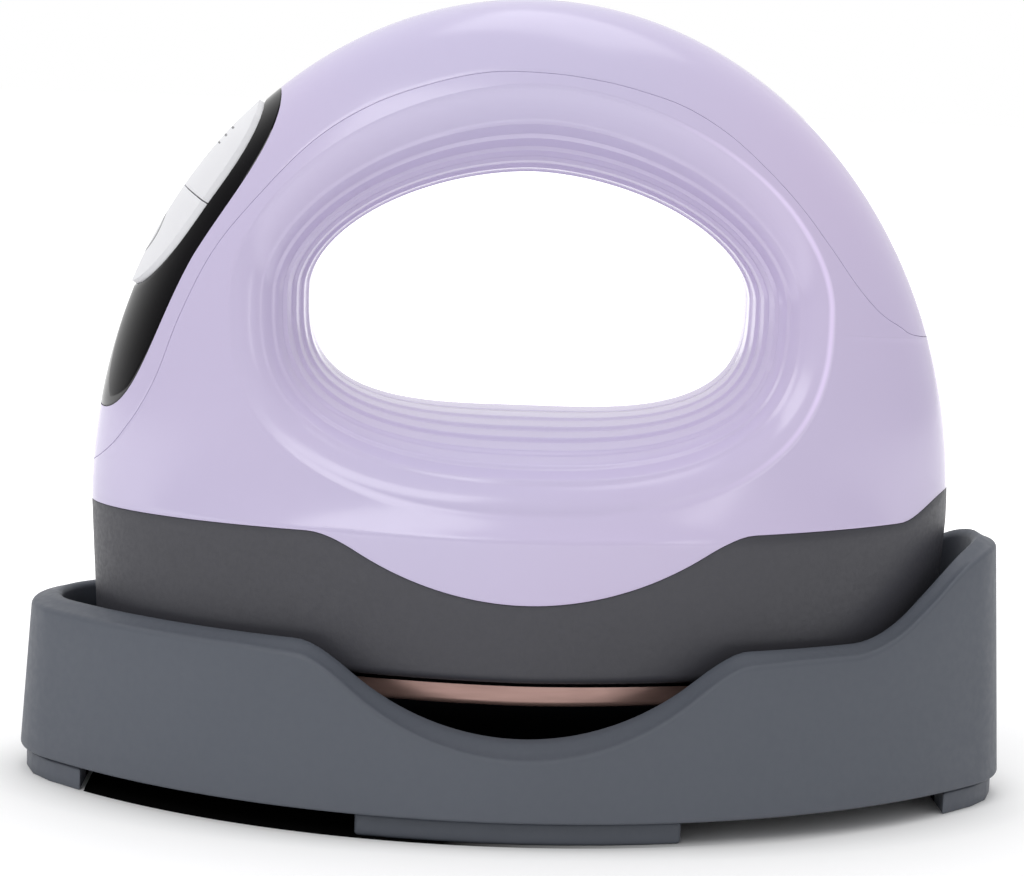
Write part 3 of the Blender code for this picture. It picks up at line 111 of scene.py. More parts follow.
# Seam of the top cover, as shares of half the body's length and of its rise
COVER_SEAM_SHARES = (
    (-1.120, -0.020), (-0.965, 0.090), (-0.901, 0.157), (-0.862, 0.211), (-0.831, 0.268), (-0.787, 0.373),
    (-0.717, 0.497), (-0.623, 0.602), (-0.502, 0.712), (-0.380, 0.783), (-0.250, 0.828), (-0.115, 0.856),
    (0.020, 0.858), (0.130, 0.848), (0.220, 0.832), (0.324, 0.804), (0.423, 0.756), (0.514, 0.691),
    (0.594, 0.622), (0.667, 0.545), (0.731, 0.474), (0.786, 0.425), (0.841, 0.395), (0.899, 0.373),
    (1.120, 0.345),
)

# Control panel, keys and their plane
PANEL_RISE = 0.038
PANEL_LEAN = radians(1.8)
PANEL_SHIFT = -0.0002
PANEL_TAPER_SHARE = 0.08
PANEL_EXPONENTS = (2.7, 3.3)
PANEL_REACH = 0.0118
PANEL_OUTER_REACH = 0.004
PANEL_EDGE = 0.0003
KEYS_SHIFT = 0.0068
KEYS_EXPONENT = 2.5
KEY_DEPTH = 0.0030
KEY_EDGE = 0.0005
FAR_INSIDE = 0.2
HALVINGS = 26

# Back of the press: cord gland and the holes of the shell screws
GLAND_PLACE = (0.040, 0.052)
GLAND_RADIUS = 0.0044
GLAND_CUT = 0.006
GLAND_GAP = 0.0001
GLAND_PROUD = 0.0008
GLAND_FLANGE = 0.0012
SCREW_CLEARANCE = 0.0003
SCREW_CUT = 0.04
SCREW_HEAD_RADIUS = 0.0021
SCREW_HEAD_HEIGHT = 0.0014
SCREW_SHANK_RADIUS = 0.0011
SLOT_LENGTH = 0.0024
SLOT_WIDTH = 0.00045
SLOT_DEPTH = 0.0016
SCREW_SHOULDER = 0.003
SCREW_PLACES = ((-0.0547, 0.0448), (0.0525, 0.0500), (0.0474, 0.0642))

# Skirt, deck and heat plate
SKIRT_FILLET = 0.0014
DECK_OVERLAP = 0.0001
DECK_EDGE = 0.0001
SEAM_ROUNDS = 8
PLATE_FILLET = 0.0008
PLATE_INSET = 0.0018
PLATE_RING_INSETS = (0.016, 0.006)
CORE_GAP = 0.0014

# Stand
RIM_HEIGHT = 0.022
DIP_HEIGHT = 0.0103
DIP_RADIUS = 0.0375
RAMP_START = 0.0498
RAMP_SLOPE = 0.88
END_HEIGHT = 0.0353
RIM_BLEND = 0.004
RIM_FALL = 0.0008
DIP_FALL = 0.0010
END_FALL = 0.0006
STAND_TIP_RADIUS = 0.0147
STAND_DRAFT = 0.00135
STAND_DRAFT_HEIGHT = 0.0217
STAND_BOTTOM_FILLET = 0.0005
FOOT_REACH = 0.0009
FOOT_EDGE = 0.0005
FLOOR_FILLET = 0.002
REST_X = 0.040
REST_Y = 0.0105
REST_RADIUS = 0.004
REST_FLARE = 0.0012
REST_EDGE = 0.0003
PAD_CHAMFER = 0.0002
PAD_EDGE = 0.0005
PAD_DIMPLE_RADIUS = 0.0014
PAD_DIMPLE_DEPTH = 0.0003
POLE_INSET = 0.0138

# Counts of steps in the built shapes
COVER_SEAM_STEPS = 14
SEAM_COLUMNS = 190
SKIRT_SEAM_COLUMNS = 130
RIGHT_EDGE_COLUMNS = 20
LEFT_EDGE_COLUMNS = 5
RIDGE_ROWS = 18
RIDGE_ROWS_SHARE = 0.6
DOME_ROWS = 26
COVER_ROWS = 26
SKIRT_COLUMNS = 320
SKIRT_ROWS = 14
STAND_TIP_STEPS = 26
STAND_SIDE_STEPS = 110
FILLET_STEPS = 5
OVAL_COLUMNS = 160
PANEL_ROWS = 14
KEY_ROWS = 24
ROUND_STEPS = 48
SMALL_ROUND_STEPS = 36
REST_STEPS = 32
PLATE_COLUMNS = 200

# Painted highlight along the ring's ridge: how far from the ridge, how far right and how high it fades in
PAINTED_HIGHLIGHT_SHARES = (0.0130, 0.0030)
PAINTED_HIGHLIGHT_RIGHT = (0.016, 0.036)
PAINTED_HIGHLIGHT_RISE = (-0.027, -0.012)

# Painted shade inside the stand: the levels at which it fades in, and how far it reaches into the wall
PAINTED_SHADE_LEVELS = (0.026, 0.019)
PAINTED_SHADE_OVERLAP = 0.0002

# Streaks of brushed metal, clear coat, and the places of a Mix node's colour sockets
STREAK_SQUEEZE = 0.04
COAT_ROUGHNESS = 0.1
MIX_FIRST = 6
MIX_SECOND = 7
MIX_RESULT = 2

# Symbols on the keys: half widths of strokes, radii, and spans as a middle and half a length
SYMBOL_PLACE = 0.0078
STROKE = 0.00024
FINE_STROKE = 0.00016
POWER_RADIUS = 0.0033
POWER_GAP = 0.0013
POWER_BAR = (0.0028, 0.0016)
BULB_DROP = 0.0022
BULB_RADIUS = 0.0012
THREAD_SPAN = (0.0008, 0.0030)
STEM_RADIUS = 0.0009
STEM_SPAN = (0.0012, 0.0027)
MARK_STEP = 0.0007
MARK_REACH = (-0.0024, 0.0008)
MARK_SPAN = (0.0014, 0.0017)

# Floor: its painted shadow under the stand, and its glow by the distance from the middle
FLOOR_RADIUS = 6.0
SHADED_SPAN = (0.030, -0.010)
SHADED_END = -0.060
SHADED_INSET = 0.0010
SHADED_COLOUR = (0.004, 0.004, 0.004)
GLOW_SCALE = (14, 26, 1)
FLOOR_GLOW = ((0.09, 0.0), (0.11, 0.16), (0.30, 0.34), (1.0, 0.74))

# World: spans of the direction's Y over which the light changes
PLAIN_SPAN = (-0.2, 0.7)
GLOSS_SPAN = (-0.15, 0.75)

# Lamps: name, setting of the power, place, size, and whether more than gloss sees them
LAMP_TARGET = (0, 0, 0.055)
LAMPS = (
    ("main_lamp", "key_power", (-0.45, -0.75, 0.85), (0.60, 0.50), True),
    ("side_lamp", "side_power", (0.60, -0.82, 0.42), (0.06, 0.50), False),
    ("top_lamp", "top_power", (0.10, 0.15, 1.05), (0.70, 0.50), True),
)

# Camera of the photograph
CAMERA_PLACE = (-0.014317, -0.376103, 0.102360)
CAMERA_TURN = radians(-2.18)
CAMERA_TILT = radians(7.92)
CAMERA_ROLL = radians(2.2)
CAMERA_FOCAL_PIXELS = 2656.2
CAMERA_SHIFT_PIXELS = (11.72, 2.78)
IMAGE_WIDTH = 1024
SENSOR_WIDTH = 36.0


# Sizes and colours that a user would change

def length(name, description, default):
    return FloatProperty(name=name, description=description, default=default, unit="LENGTH", precision=5)


def colour(name, description, default):
    return FloatVectorProperty(name=name, description=description, default=default, subtype="COLOR",
                               size=3, min=0, max=1)


def amount(name, description, default, unit="NONE"):
    return FloatProperty(name=name, description=description, default=default, min=0, unit=unit)


class PressSizes(bpy.types.PropertyGroup):
    """Sizes of the press."""
    body_length: length("Body length", "Length of the press body at its widest level", 0.1226)
    body_width: length("Body width", "Width of the press body at its widest level", 0.0616)
    body_rise: length("Body rise", "Height of the dome over the widest level", 0.0716)
    wall: length("Wall", "Thickness of the moulded walls", 0.0020)
    opening_width: length("Opening width", "Clear width of the finger opening", 0.062)
    opening_height: length("Opening height", "Clear height of the finger opening", 0.0341)
    opening_level: length("Opening level", "Level of the middle of the finger opening", 0.0706)
    ring_side: length("Ring side", "Width of the rolled ring beside the opening", 0.010)
    ring_top: length("Ring top", "Width of the rolled ring over the opening", 0.012)
    ring_bottom: length("Ring bottom", "Width of the rolled ring under the opening", 0.0105)
    rib_height: length("Rib height", "Height of the fine steps in the rolled ring", 0.00033)
    ridge_softness: length("Ridge softness", "Reach of the rounding on the ring's outer ridge", 0.0005)
    seam_gap: length("Seam gap", "Gap that shows between two moulded pieces", 0.00007)
    edge_radius: length("Edge radius", "Rounding of the edges along the seams", 0.00012)
    panel_length: length("Panel length", "Length of the black panel", 0.0512)
    panel_width: length("Panel width", "Width of the black panel", 0.0214)
    keys_length: length("Keys length", "Length of the oval of the two keys", 0.0316)
    keys_width: length("Keys width", "Width of the oval of the two keys", 0.0172)
    key_proud: length("Key height", "How far the keys stand over the body's surface", 0.0006)
    key_gap: length("Key gap", "Gap round the keys and between them", 0.0002)


class StandSizes(bpy.types.PropertyGroup):
    """Sizes of the stand."""
    stand_length: length("Stand length", "Length of the stand", STAND_BOX[1][0] - STAND_BOX[0][0])
    stand_width: length("Stand width", "Width of the stand", STAND_BOX[1][1] - STAND_BOX[0][1])
    stand_wall: length("Stand wall", "Thickness of the stand's wall", 0.0043)
    rim_radius: length("Rim radius", "Rounding of the edges of the stand's rim", 0.0009)


class PressColours(bpy.types.PropertyGroup):
    """Colours of the moulded pieces, the plate and what is inside."""
    lilac: colour("Lilac", "Main colour of the shells and the cover", (0.585, 0.535, 0.735))
    lilac_pink: colour("Lilac, warm", "Warmer patches of the shells and the cover", (0.610, 0.525, 0.730))
    charcoal: colour("Charcoal", "Colour of the skirt", (0.055, 0.055, 0.066))
    stand: colour("Stand", "Colour of the stand", (0.095, 0.106, 0.130))
    panel: colour("Panel", "Colour of the glossy panel", (0.0045, 0.0042, 0.005))
    key: colour("Key", "Colour of the keys", (0.80, 0.80, 0.83))
    print_grey: colour("Print", "Colour of the two symbols on the keys", (0.10, 0.10, 0.11))
    plate: colour("Plate", "Colour of the coated plate", (0.45, 0.285, 0.25))
    steel: colour("Steel", "Colour of screws and metal parts", (0.56, 0.56, 0.57))
    rubber: colour("Rubber", "Colour of the silicone pads", (0.055, 0.060, 0.070))
    black: colour("Black", "Colour of the small black parts", (0.020, 0.020, 0.022))
    board: colour("Board", "Colour of the circuit boards", (0.025, 0.170, 0.080))
    insulation: colour("Insulation", "Colour of the pad and the flat cable", (0.74, 0.73, 0.69))
    wire: colour("Wire", "Colour of the element's leads", (0.42, 0.035, 0.028))
    led: colour("Indicator", "Colour of the indicator lights", (0.14, 0.55, 0.21))
    relay: colour("Relay", "Colour of the relay's case", (0.03, 0.10, 0.34))


class StageSettings(bpy.types.PropertyGroup):
    """Floor, world and lamps."""
    floor: colour("Floor", "Colour of the floor", (0.86, 0.86, 0.865))
    ambient: amount("Ambient", "Strength of the even light from all round", 0.71)
    backdrop: amount("Backdrop", "Strength of the even light from behind", 0.95)
    room: amount("Room", "Strength of the room in front, as seen in gloss", 0.10)
    key_power: amount("Main lamp", "Power of the large lamp at the upper left", 3.3, "POWER")
    side_power: amount("Side lamp", "Power of the narrow lamp at the right", 0.5, "POWER")
    top_power: amount("Top lamp", "Power of the lamp over the object", 2.2, "POWER")


# Curves

def quarter_turns(steps):
    """Angles from zero to a right angle."""
    return [pi / 2 * step / steps for step in range(steps + 1)]


def soft_min(first, second, blend):
    """The smaller of two lengths, rounded off where they cross."""
    share = max(blend - abs(first - second), 0) / blend
    return min(first, second) - share * share * blend / 4


def soft_max(first, second, blend):
    return -soft_min(-first, -second, blend)


def signed_power(value, power):
    return abs(value) ** power if value >= 0 else -abs(value) ** power


def oval_point(angle, half_long, half_wide, exponent):
    """A point of a superellipse, as (along, across)."""
    along = half_long * signed_power(cos(angle), 2 / exponent)
    across = half_wide * signed_power(sin(angle), 2 / exponent)
    return along, across


def oval_reach(direction, half_long, half_high, exponent):
    """How far a superellipse lies from its middle in a direction."""
    across, up = direction
    return ((abs(across) / half_long) ** exponent + (abs(up) / half_high) ** exponent) ** (-1 / exponent)


def smooth_path(points, steps):
    """Points of a Catmull-Rom curve through the given points."""
    vectors = [Vector(point) for point in points]
    padded = [2 * vectors[0] - vectors[1]] + vectors + [2 * vectors[-1] - vectors[-2]]
    path = []
    for before, start, end, after in zip(padded, padded[1:], padded[2:], padded[3:]):
        for step in range(steps):
            share = step / steps
            pull = (end - before) / 2
            push = (after - start) / 2
            rise = share * share * (3 - 2 * share)
            leave = share * (1 - share) ** 2
            arrive = share * share * (share - 1)
            path.append(start * (1 - rise) + end * rise + pull * leave + push * arrive)
    path.append(vectors[-1])
    return path


def offset_path(path, distance):
    """Move a path in the XZ plane sideways, up where the distance is positive."""
    moved = []
    for index, point in enumerate(path):
        before = path[max(index - 1, 0)]
        after = path[min(index + 1, len(path) - 1)]
        along = (after - before).normalized()
        moved.append(point + distance * Vector((-along.z, 0, along.x)))
    return moved


def lengths_along(path):
    """The length of a path up to each of its points."""
    lengths = [0.0]
    for start, end in zip(path, path[1:]):
        lengths.append(lengths[-1] + (end - start).length)
    return lengths


def point_along(path, lengths, distance):
    """The point of a path at a distance from its start."""
    distance = min(max(distance, 0), lengths[-1])
    index = min(bisect_right(lengths, distance), len(path) - 1)
    span = lengths[index] - lengths[index - 1]
    share = (distance - lengths[index - 1]) / span if span > 0 else 0
    return path[index - 1].lerp(path[index], share)


def even_points(path, steps):
    """Points at even distances along a path, its two ends among them."""
    lengths = lengths_along(path)
    return [point_along(path, lengths, lengths[-1] * step / steps) for step in range(steps + 1)]


# The body's surface

class BodyForm:
    """The press body's outer surface, worked out from the sizes in the sidebar."""

    def __init__(self, sizes, inset=0.0):
        self.half_length = sizes.body_length / 2 - inset
        self.half_width = sizes.body_width / 2 - inset
        self.rise = sizes.body_rise - inset
        self.half_gap = sizes.seam_gap / 2
        self.opening = (sizes.opening_width / 2, sizes.opening_height / 2)
        self.ring = (sizes.ring_side, sizes.ring_top, sizes.ring_bottom)
        self.middle = Vector((0, 0, sizes.opening_level))
        self.rib_height = sizes.rib_height
        self.softness = sizes.ridge_softness

    def section(self, level):
        """Half length, half width and exponent of the section at a level."""
        height = level - WIDEST_LEVEL
        if height < 0:
            draft = SKIRT_DRAFT * height / (WIDEST_LEVEL - SKIRT_LEVEL)
            return self.half_length + draft, self.half_width + draft, FOOT_EXPONENT
        share = min(height / self.rise, 1)
        round_share = sqrt(1 - share * share)
        waist_share = WAIST_SHARE + (1 - WAIST_SHARE) * exp(-height / FLARE_HEIGHT)
        waist_share += CROWN_SHARE * share ** CROWN_POWER
        exponent = TOP_EXPONENT - (TOP_EXPONENT - FOOT_EXPONENT) * exp(-height / EXPONENT_HEIGHT)
        return self.half_length * round_share, self.half_width * round_share * waist_share, exponent

    def depth(self, x, level):
        """How far the surface stands from the XZ plane."""
        half_long, half_wide, exponent = self.section(level)
        if half_long <= 0:
            return 0.0
        share = min(abs(x) / half_long, 1)
        return half_wide * (1 - share ** exponent) ** (1 / exponent)

    def inside(self, point):
        half_long, half_wide, exponent = self.section(point.z)
        return (abs(point.x) / half_long) ** exponent + (abs(point.y) / half_wide) ** exponent < 1

    def on_surface(self, point):
        return Vector((point.x, self.depth(point.x, point.z), point.z))

    def outline_share(self, point):
        """Under 1 inside the outline that the XZ plane cuts, over 1 outside."""
        rise = max(point.z - WIDEST_LEVEL, 0) / self.rise
        return (point.x / self.half_length) ** 2 + rise ** 2

    def outline_reach(self, direction):
        """How far the dome's outline lies from the opening's middle in a direction."""
        across, up = direction
        start = self.middle.z - WIDEST_LEVEL
        square = (across / self.half_length) ** 2 + (up / self.rise) ** 2
        linear = start * up / self.rise ** 2
        rest = (start / self.rise) ** 2 - 1
        return (-linear + sqrt(linear ** 2 - square * rest)) / square

    def opening_reach(self, direction):
        return oval_reach(direction, *self.opening, OPENING_EXPONENTS[direction[1] < 0])

    def ridge_reach(self, direction):
        side, top, bottom = self.ring
        high = self.opening[1] + (bottom if direction[1] < 0 else top)
        return oval_reach(direction, self.opening[0] + side, high, RIDGE_EXPONENTS[direction[1] < 0])

    def rib(self, share):
        """Height of the fine steps at a share of the ring's quarter turn."""
        start = RIB_START_SHARE
        for crest in RIB_CREST_SHARES:
            if start <= share < crest:
                return self.rib_height * (share - start) / (crest - start)
            if crest <= share < crest + RIB_DROP_SHARE:
                return self.rib_height * (1 - (share - crest) / RIB_DROP_SHARE)
            start = crest + RIB_DROP_SHARE
        return 0.0

    def rib_fade(self, direction, share):
        """The outer steps run out beside the opening, and the steps deep inside it are lower."""
        low, high = RIB_FADE_SHARES
        beside = direction[0] ** 2 * min(max((share - low) / (high - low), 0), 1)
        return (1 - beside) * (RIB_DEEP_SHARE + (1 - RIB_DEEP_SHARE) * min(share / RIB_DEEP_END_SHARE, 1))

    def profile(self, direction, end):
        """The surface along a ray from the opening's middle, as points of (reach, depth)."""
        opening = self.opening_reach(direction)
        ridge = self.ridge_reach(direction)
        width = ridge - opening
        crest = self.middle + Vector((direction[0], 0, direction[1])) * ridge
        top = self.depth(crest.x, crest.z) - RIDGE_SETBACK
        path = []
        for share in RING_SHARES:
            turn = share * pi / 2
            normal = Vector((-top * cos(turn), width * sin(turn))).normalized()
            place = Vector((opening + width * (1 - cos(turn)), top * sin(turn)))
            path.append(place + normal * self.rib(share) * self.rib_fade(direction, share))
        steps = 70
        for step in range(1, steps + 1):
            share = (step / steps + sin(pi / 2 * step / steps)) / 2
            reach = ridge + (end - ridge) * share
            x = direction[0] * reach
            level = self.middle.z + direction[1] * reach
            path.append(Vector((reach, self.depth(x, level))))
        return path

    def softened(self, path, lengths, distances):
        """Points at distances along a profile, with the corner at its ridge rounded off."""
        ridge = lengths[len(RING_SHARES) - 1]
        points = []
        for distance in distances:
            reach = max(self.softness - abs(distance - ridge) / 2, 0)
            point = point_along(path, lengths, distance)
            if reach > 0:
                samples = (-1, -0.5, 0, 0.5, 1)
                near = [point_along(path, lengths, distance + reach * sample) for sample in samples]
                point = sum(near, Vector((0, 0))) / len(near)
            points.append(point)
        return points

    def place(self, direction, point, side):
        """Where a profile's point lies in the frame, at the front or the back."""
        depth = max(point.y, self.half_gap) * side
        return self.middle + Vector((direction[0] * point.x, depth, direction[1] * point.x))


def ring_shares():
    """Shares of the quarter turn at which the ring has a row, close together at each fine step."""
    shares = [0, RIB_START_SHARE]
    start = RIB_START_SHARE
    for crest in RIB_CREST_SHARES:
        shares += [start + (crest - start) * share for share in (0.12, 0.4, 0.7, 0.93, 1.0)]
        shares += [crest + RIB_DROP_SHARE * share for share in (0.5, 1.0)]
        start = crest + RIB_DROP_SHARE
    return shares + [0.80, 0.84, 0.88, 0.91, 0.94, 0.97, 1.0]


RING_SHARES = ring_shares()
RIB_ROWS = RING_SHARES.index(RIB_CREST_SHARES[-1] + RIB_DROP_SHARE) + 1


def distance_at(path, lengths, reach):
    """The distance along a profile, past its fine steps, at which it has come to a reach."""
    for index in range(RIB_ROWS, len(path)):
        if path[index].x >= reach:
            before = path[index - 1].x
            share = (reach - before) / (path[index].x - before)
            return lengths[index - 1] + share * (lengths[index] - lengths[index - 1])
    return lengths[-1]


# Seams

def skirt_seam(x):
    """Level of the seam between the skirt and the lilac body."""
    share = min(max((x - SEAM_STEP_START) / SEAM_STEP_RUN, 0), 1)
    level = WIDEST_LEVEL + SEAM_RISE + SEAM_SLOPE_SHARE * x + SEAM_STEP * share * share * (3 - 2 * share)
    if abs(x) >= TONGUE_RADIUS:
        return level
    tongue = WIDEST_LEVEL + SEAM_RISE - TONGUE_DROP + TONGUE_RADIUS - sqrt(TONGUE_RADIUS ** 2 - x * x)
    return soft_min(level, tongue, TONGUE_BLEND)


def clipped(form, path):
    """The part of a path that lies inside the body's outline, with its two ends on the outline."""
    shares = [form.outline_share(point) for point in path]
    inside = [index for index, share in enumerate(shares) if share < 1]
    first, last = inside[0], inside[-1]
    enter = (1 - shares[first - 1]) / (shares[first] - shares[first - 1])
    leave = (1 - shares[last]) / (shares[last + 1] - shares[last])
    start = path[first - 1].lerp(path[first], enter)
    end = path[last].lerp(path[last + 1], leave)
    return [start] + path[first:last + 1] + [end]


def cover_seam(form, shift):
    """The top cover's seam on the front of the body, from its left end to its right end."""
    half_length = form.half_length
    places = [(x * half_length, 0, WIDEST_LEVEL + z * form.rise) for x, z in COVER_SEAM_SHARES]
    path = clipped(form, offset_path(smooth_path(places, COVER_SEAM_STEPS), shift))
    return [form.on_surface(point) for point in path]


def lower_seam(form, shift):
    """The skirt's seam on the front of the body, from left to right."""
    steps = 520
    reach = 1.04 * form.half_length
    path = []
    for step in range(steps + 1):
        x = reach * (2 * step / steps - 1)
        path.append(Vector((x, 0, skirt_seam(x))))
    return [form.on_surface(point) for point in clipped(form, offset_path(path, shift))]


def outline_path(form, start, end):
    """The body's outline in the XZ plane, between the levels of two points on one side."""
    side = 1 if start.x > 0 else -1
    steps = 40
    path = []
    for step in range(steps + 1):
        level = start.z + (end.z - start.z) * step / steps
        path.append(Vector((side * form.section(level)[0], 0, level)))
    return path


def shell_columns(form):
    """Directions and reaches from the opening's middle to the shell's outer edge, all the way round."""
    upper = cover_seam(form, -form.half_gap)
    lower = lower_seam(form, form.half_gap)
    loop = even_points(list(reversed(upper)), SEAM_COLUMNS)[:-1]
    loop += even_points(outline_path(form, upper[0], lower[0]), LEFT_EDGE_COLUMNS)[:-1]
    loop += even_points(lower, SKIRT_SEAM_COLUMNS)[:-1]
    loop += even_points(outline_path(form, lower[-1], upper[-1]), RIGHT_EDGE_COLUMNS)
    return [ray_to(form, point) for point in loop]


def ray_to(form, point):
    ray = point - form.middle
    reach = sqrt(ray.x ** 2 + ray.z ** 2)
    return (ray.x / reach, ray.z / reach), reach


# Meshes

def new_grid(columns, closed=False):
    """A grid of faces with its corners at columns of points, joined round where it is closed."""
    shape = bmesh.new()
    across = len(columns) if closed else len(columns) - 1
    up = len(columns[0]) - 1
    bmesh.ops.create_grid(shape, x_segments=across, y_segments=up, size=0.5)
    for corner in shape.verts:
        column = round((corner.co.x + 0.5) * across) % len(columns)
        corner.co = columns[column][round((corner.co.y + 0.5) * up)]
    bmesh.ops.remove_doubles(shape, verts=shape.verts, dist=MERGE_DISTANCE)
    return shape


def turn_outwards(shape, inner_point):
    """Recalculate a sheet's normals, and turn them away from a point behind it."""
    bmesh.ops.recalc_face_normals(shape, faces=shape.faces)
    facing = sum(face.calc_area() * face.normal.dot(face.calc_center_median() - inner_point)
                 for face in shape.faces)
    if facing < 0:
        bmesh.ops.reverse_faces(shape, faces=shape.faces)


def round_edges(shape, edges, radius, segments):
    corners = list({corner for edge in edges for corner in edge.verts})
    bmesh.ops.bevel(shape, geom=edges + corners, offset=radius, offset_type="OFFSET",
                    segments=segments, profile=0.5, affect="EDGES", material=-1, clamp_overlap=True)


def give_wall(shape, thickness, edge_radius):
    """Thicken a sheet inwards into a wall, and round the edges that the sheet had."""
    edges = [edge for edge in shape.edges if edge.is_boundary]
    bmesh.ops.solidify(shape, geom=shape.faces[:], thickness=thickness)
    round_edges(shape, edges, edge_radius, 2)


def extrude(shape, faces, push):
    """Extrude faces into a solid along one direction."""
    extruded = bmesh.ops.extrude_face_region(shape, geom=faces, use_keep_orig=True)
    corners = [item for item in extruded["geom"] if isinstance(item, bmesh.types.BMVert)]
    bmesh.ops.translate(shape, verts=corners, vec=push)
    bmesh.ops.recalc_face_normals(shape, faces=shape.faces)


def push_down(shape, push, edge_radius, segments=3):
    """Extrude a sheet into a solid, and round the edge that the sheet had."""
    edges = [edge for edge in shape.edges if edge.is_boundary]
    extrude(shape, shape.faces[:], push)
    round_edges(shape, edges, edge_radius, segments)


def lathe(profile, start, along, steps=ROUND_STEPS):
    """Spin a profile of (distance, radius) pairs round an axis."""
    direction = Vector(along).normalized()
    across = direction.orthogonal().normalized()
    shape = bmesh.new()
    places = [start + direction * distance + across * radius for distance, radius in profile]
    corners = [shape.verts.new(place) for place in places]
    edges = [shape.edges.new(pair) for pair in zip(corners, corners[1:])]
    bmesh.ops.spin(shape, geom=corners + edges, cent=start, axis=direction, angle=2 * pi, steps=steps,
                   use_merge=True)
    bmesh.ops.remove_doubles(shape, verts=shape.verts, dist=MERGE_DISTANCE)
    bmesh.ops.recalc_face_normals(shape, faces=shape.faces)
    return shape


def to_object(name, shape):
    mesh = bpy.data.meshes.new(name)
    shape.to_mesh(mesh)
    shape.free()
    piece = bpy.data.objects.new(name, mesh)
    bpy.context.scene.collection.objects.link(piece)
    return piece


def add_in(piece, shape):
    """Join another closed shape into a piece's mesh."""
    both = bmesh.new()
    both.from_mesh(piece.data)
    extra = bpy.data.meshes.new("extra")
    shape.to_mesh(extra)
    shape.free()
    both.from_mesh(extra)
    both.to_mesh(piece.data)
    both.free()
    bpy.data.meshes.remove(extra)


def cut(piece, tool):
    """Take a closed tool's volume out of a piece."""
    modifier = piece.modifiers.new("cut", "BOOLEAN")
    modifier.operation = "DIFFERENCE"
    modifier.solver = "MANIFOLD"
    modifier.object = tool
    graph = bpy.context.evaluated_depsgraph_get()
    mesh = bpy.data.meshes.new_from_object(piece.evaluated_get(graph))
    piece.modifiers.clear()
    piece.data = mesh
    bpy.data.objects.remove(tool, do_unlink=True)


def finish_piece(piece, body, slot, node, finish=None):
    """Give a piece the finish of its slot, or the one given, and smooth shading, put it under its body's
    empty, and hide the node that it stands for.
    """
    piece.data.materials.clear()
    piece.data.materials.append(make_finish(finish or slot))
    piece.data.shade_smooth()
    piece.data.set_sharp_from_angle(angle=SHARP_ANGLE)
    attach(piece, body)
    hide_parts(node)


# Shader nodes

class Nodes:
    """Short calls that add nodes to a material, a group or the world."""

    def __init__(self, tree):
        self.tree = tree
        self.shader = tree.nodes.get("Principled BSDF")

    def feed(self, socket, value):
        """Link an input to an output, or give it a plain value or colour."""
        if isinstance(value, bpy.types.NodeSocket):
            self.tree.links.new(value, socket)
        elif socket.type == "RGBA":
            socket.default_value = (*value, 1)
        else:
            socket.default_value = value

    def add(self, kind, inputs, **settings):
        """A new node with its settings made and its inputs fed."""
        node = self.tree.nodes.new("ShaderNode" + kind)
        for name, value in settings.items():
            setattr(node, name, value)
        for name, value in inputs.items():
            self.feed(node.inputs[name], value)
        return node

    def give(self, name, value):
        """Feed one of the shader's inputs."""
        self.feed(self.shader.inputs[name], value)

    def colour(self):
        """The output that the shader takes its colour from."""
        return self.shader.inputs["Base Color"].links[0].from_socket

    def lay_over(self, mask, colour):
        """Turn the shader's colour into another where a mask is 1."""
        self.give("Base Color", self.mix(mask, self.colour(), colour))

    def math(self, operation, *values):
        return self.add("Math", dict(enumerate(values)), operation=operation).outputs[0]

    def vector_math(self, operation, output, *values):
        return self.add("VectorMath", dict(enumerate(values)), operation=operation).outputs[output]

    def product(self, first, *others):
        for other in others:
            first = self.math("MULTIPLY", first, other)
        return first

    def invert(self, value):
        return self.math("SUBTRACT", 1.0, value)

    def within(self, value, middle, half):
        """1 where a value lies within half a width of a middle, and 0 elsewhere."""
        return self.math("LESS_THAN", self.math("ABSOLUTE", self.math("SUBTRACT", value, middle)), half)

    def radius(self, up, across):
        return self.math("SQRT", self.math("ADD", self.product(up, up), self.product(across, across)))

    def spread(self, value, low, high, start=0.35, end=0.65):
        """Map a span of values, by default the one that a noise fills, to a new range."""
        inputs = {"Value": value, "From Min": start, "From Max": end, "To Min": low, "To Max": high}
        return self.add("MapRange", inputs).outputs["Result"]

    def ramp(self, value, start, end):
        """0 up to the start of a span of values, 1 past its end."""
        return self.spread(value, 0, 1, start, end)

    def place(self, scale=(1, 1, 1), turn=(0, 0, 0)):
        """Object coordinates, stretched and turned."""
        inputs = {"Vector": self.add("TexCoord", {}).outputs["Object"], "Scale": scale, "Rotation": turn}
        return self.add("Mapping", inputs).outputs["Vector"]

    def split(self, vector):
        """The X, Y and Z of a vector."""
        return list(self.add("SeparateXYZ", {"Vector": vector}).outputs)

    def noise(self, place, scale, detail):
        return self.add("TexNoise", {"Vector": place, "Scale": scale, "Detail": detail}).outputs["Fac"]

    def mix(self, share, first, second):
        """A colour between two, the first where the share is 0."""
        inputs = {"Factor": share, MIX_FIRST: first, MIX_SECOND: second}
        return self.add("Mix", inputs, data_type="RGBA").outputs[MIX_RESULT]

    def bump(self, height, distance):
        return self.add("Bump", {"Height": height, "Distance": distance}).outputs["Normal"]


def shade(rgb, factor):
    return tuple(min(channel * factor, 1) for channel in rgb)


def new_group(name, surface, values):
    """A node group with an input for each value, whose surface is a colour, a roughness and a normal."""
    group = bpy.data.node_groups.new(name, "ShaderNodeTree")
    for title, value in values.items():
        kind = "NodeSocketFloat" if isinstance(value, (int, float)) else "NodeSocketColor"
        group.interface.new_socket(title, in_out="INPUT", socket_type=kind)
    for title, kind in (("Colour", "Color"), ("Roughness", "Float"), ("Normal", "Vector")):
        group.interface.new_socket(title, in_out="OUTPUT", socket_type="NodeSocket" + kind)
    start = group.nodes.new("NodeGroupInput")
    end = group.nodes.new("NodeGroupOutput")
    nodes = Nodes(group)
    for socket, value in zip(end.inputs, surface(nodes, start.outputs)):
        nodes.feed(socket, value)
    return group


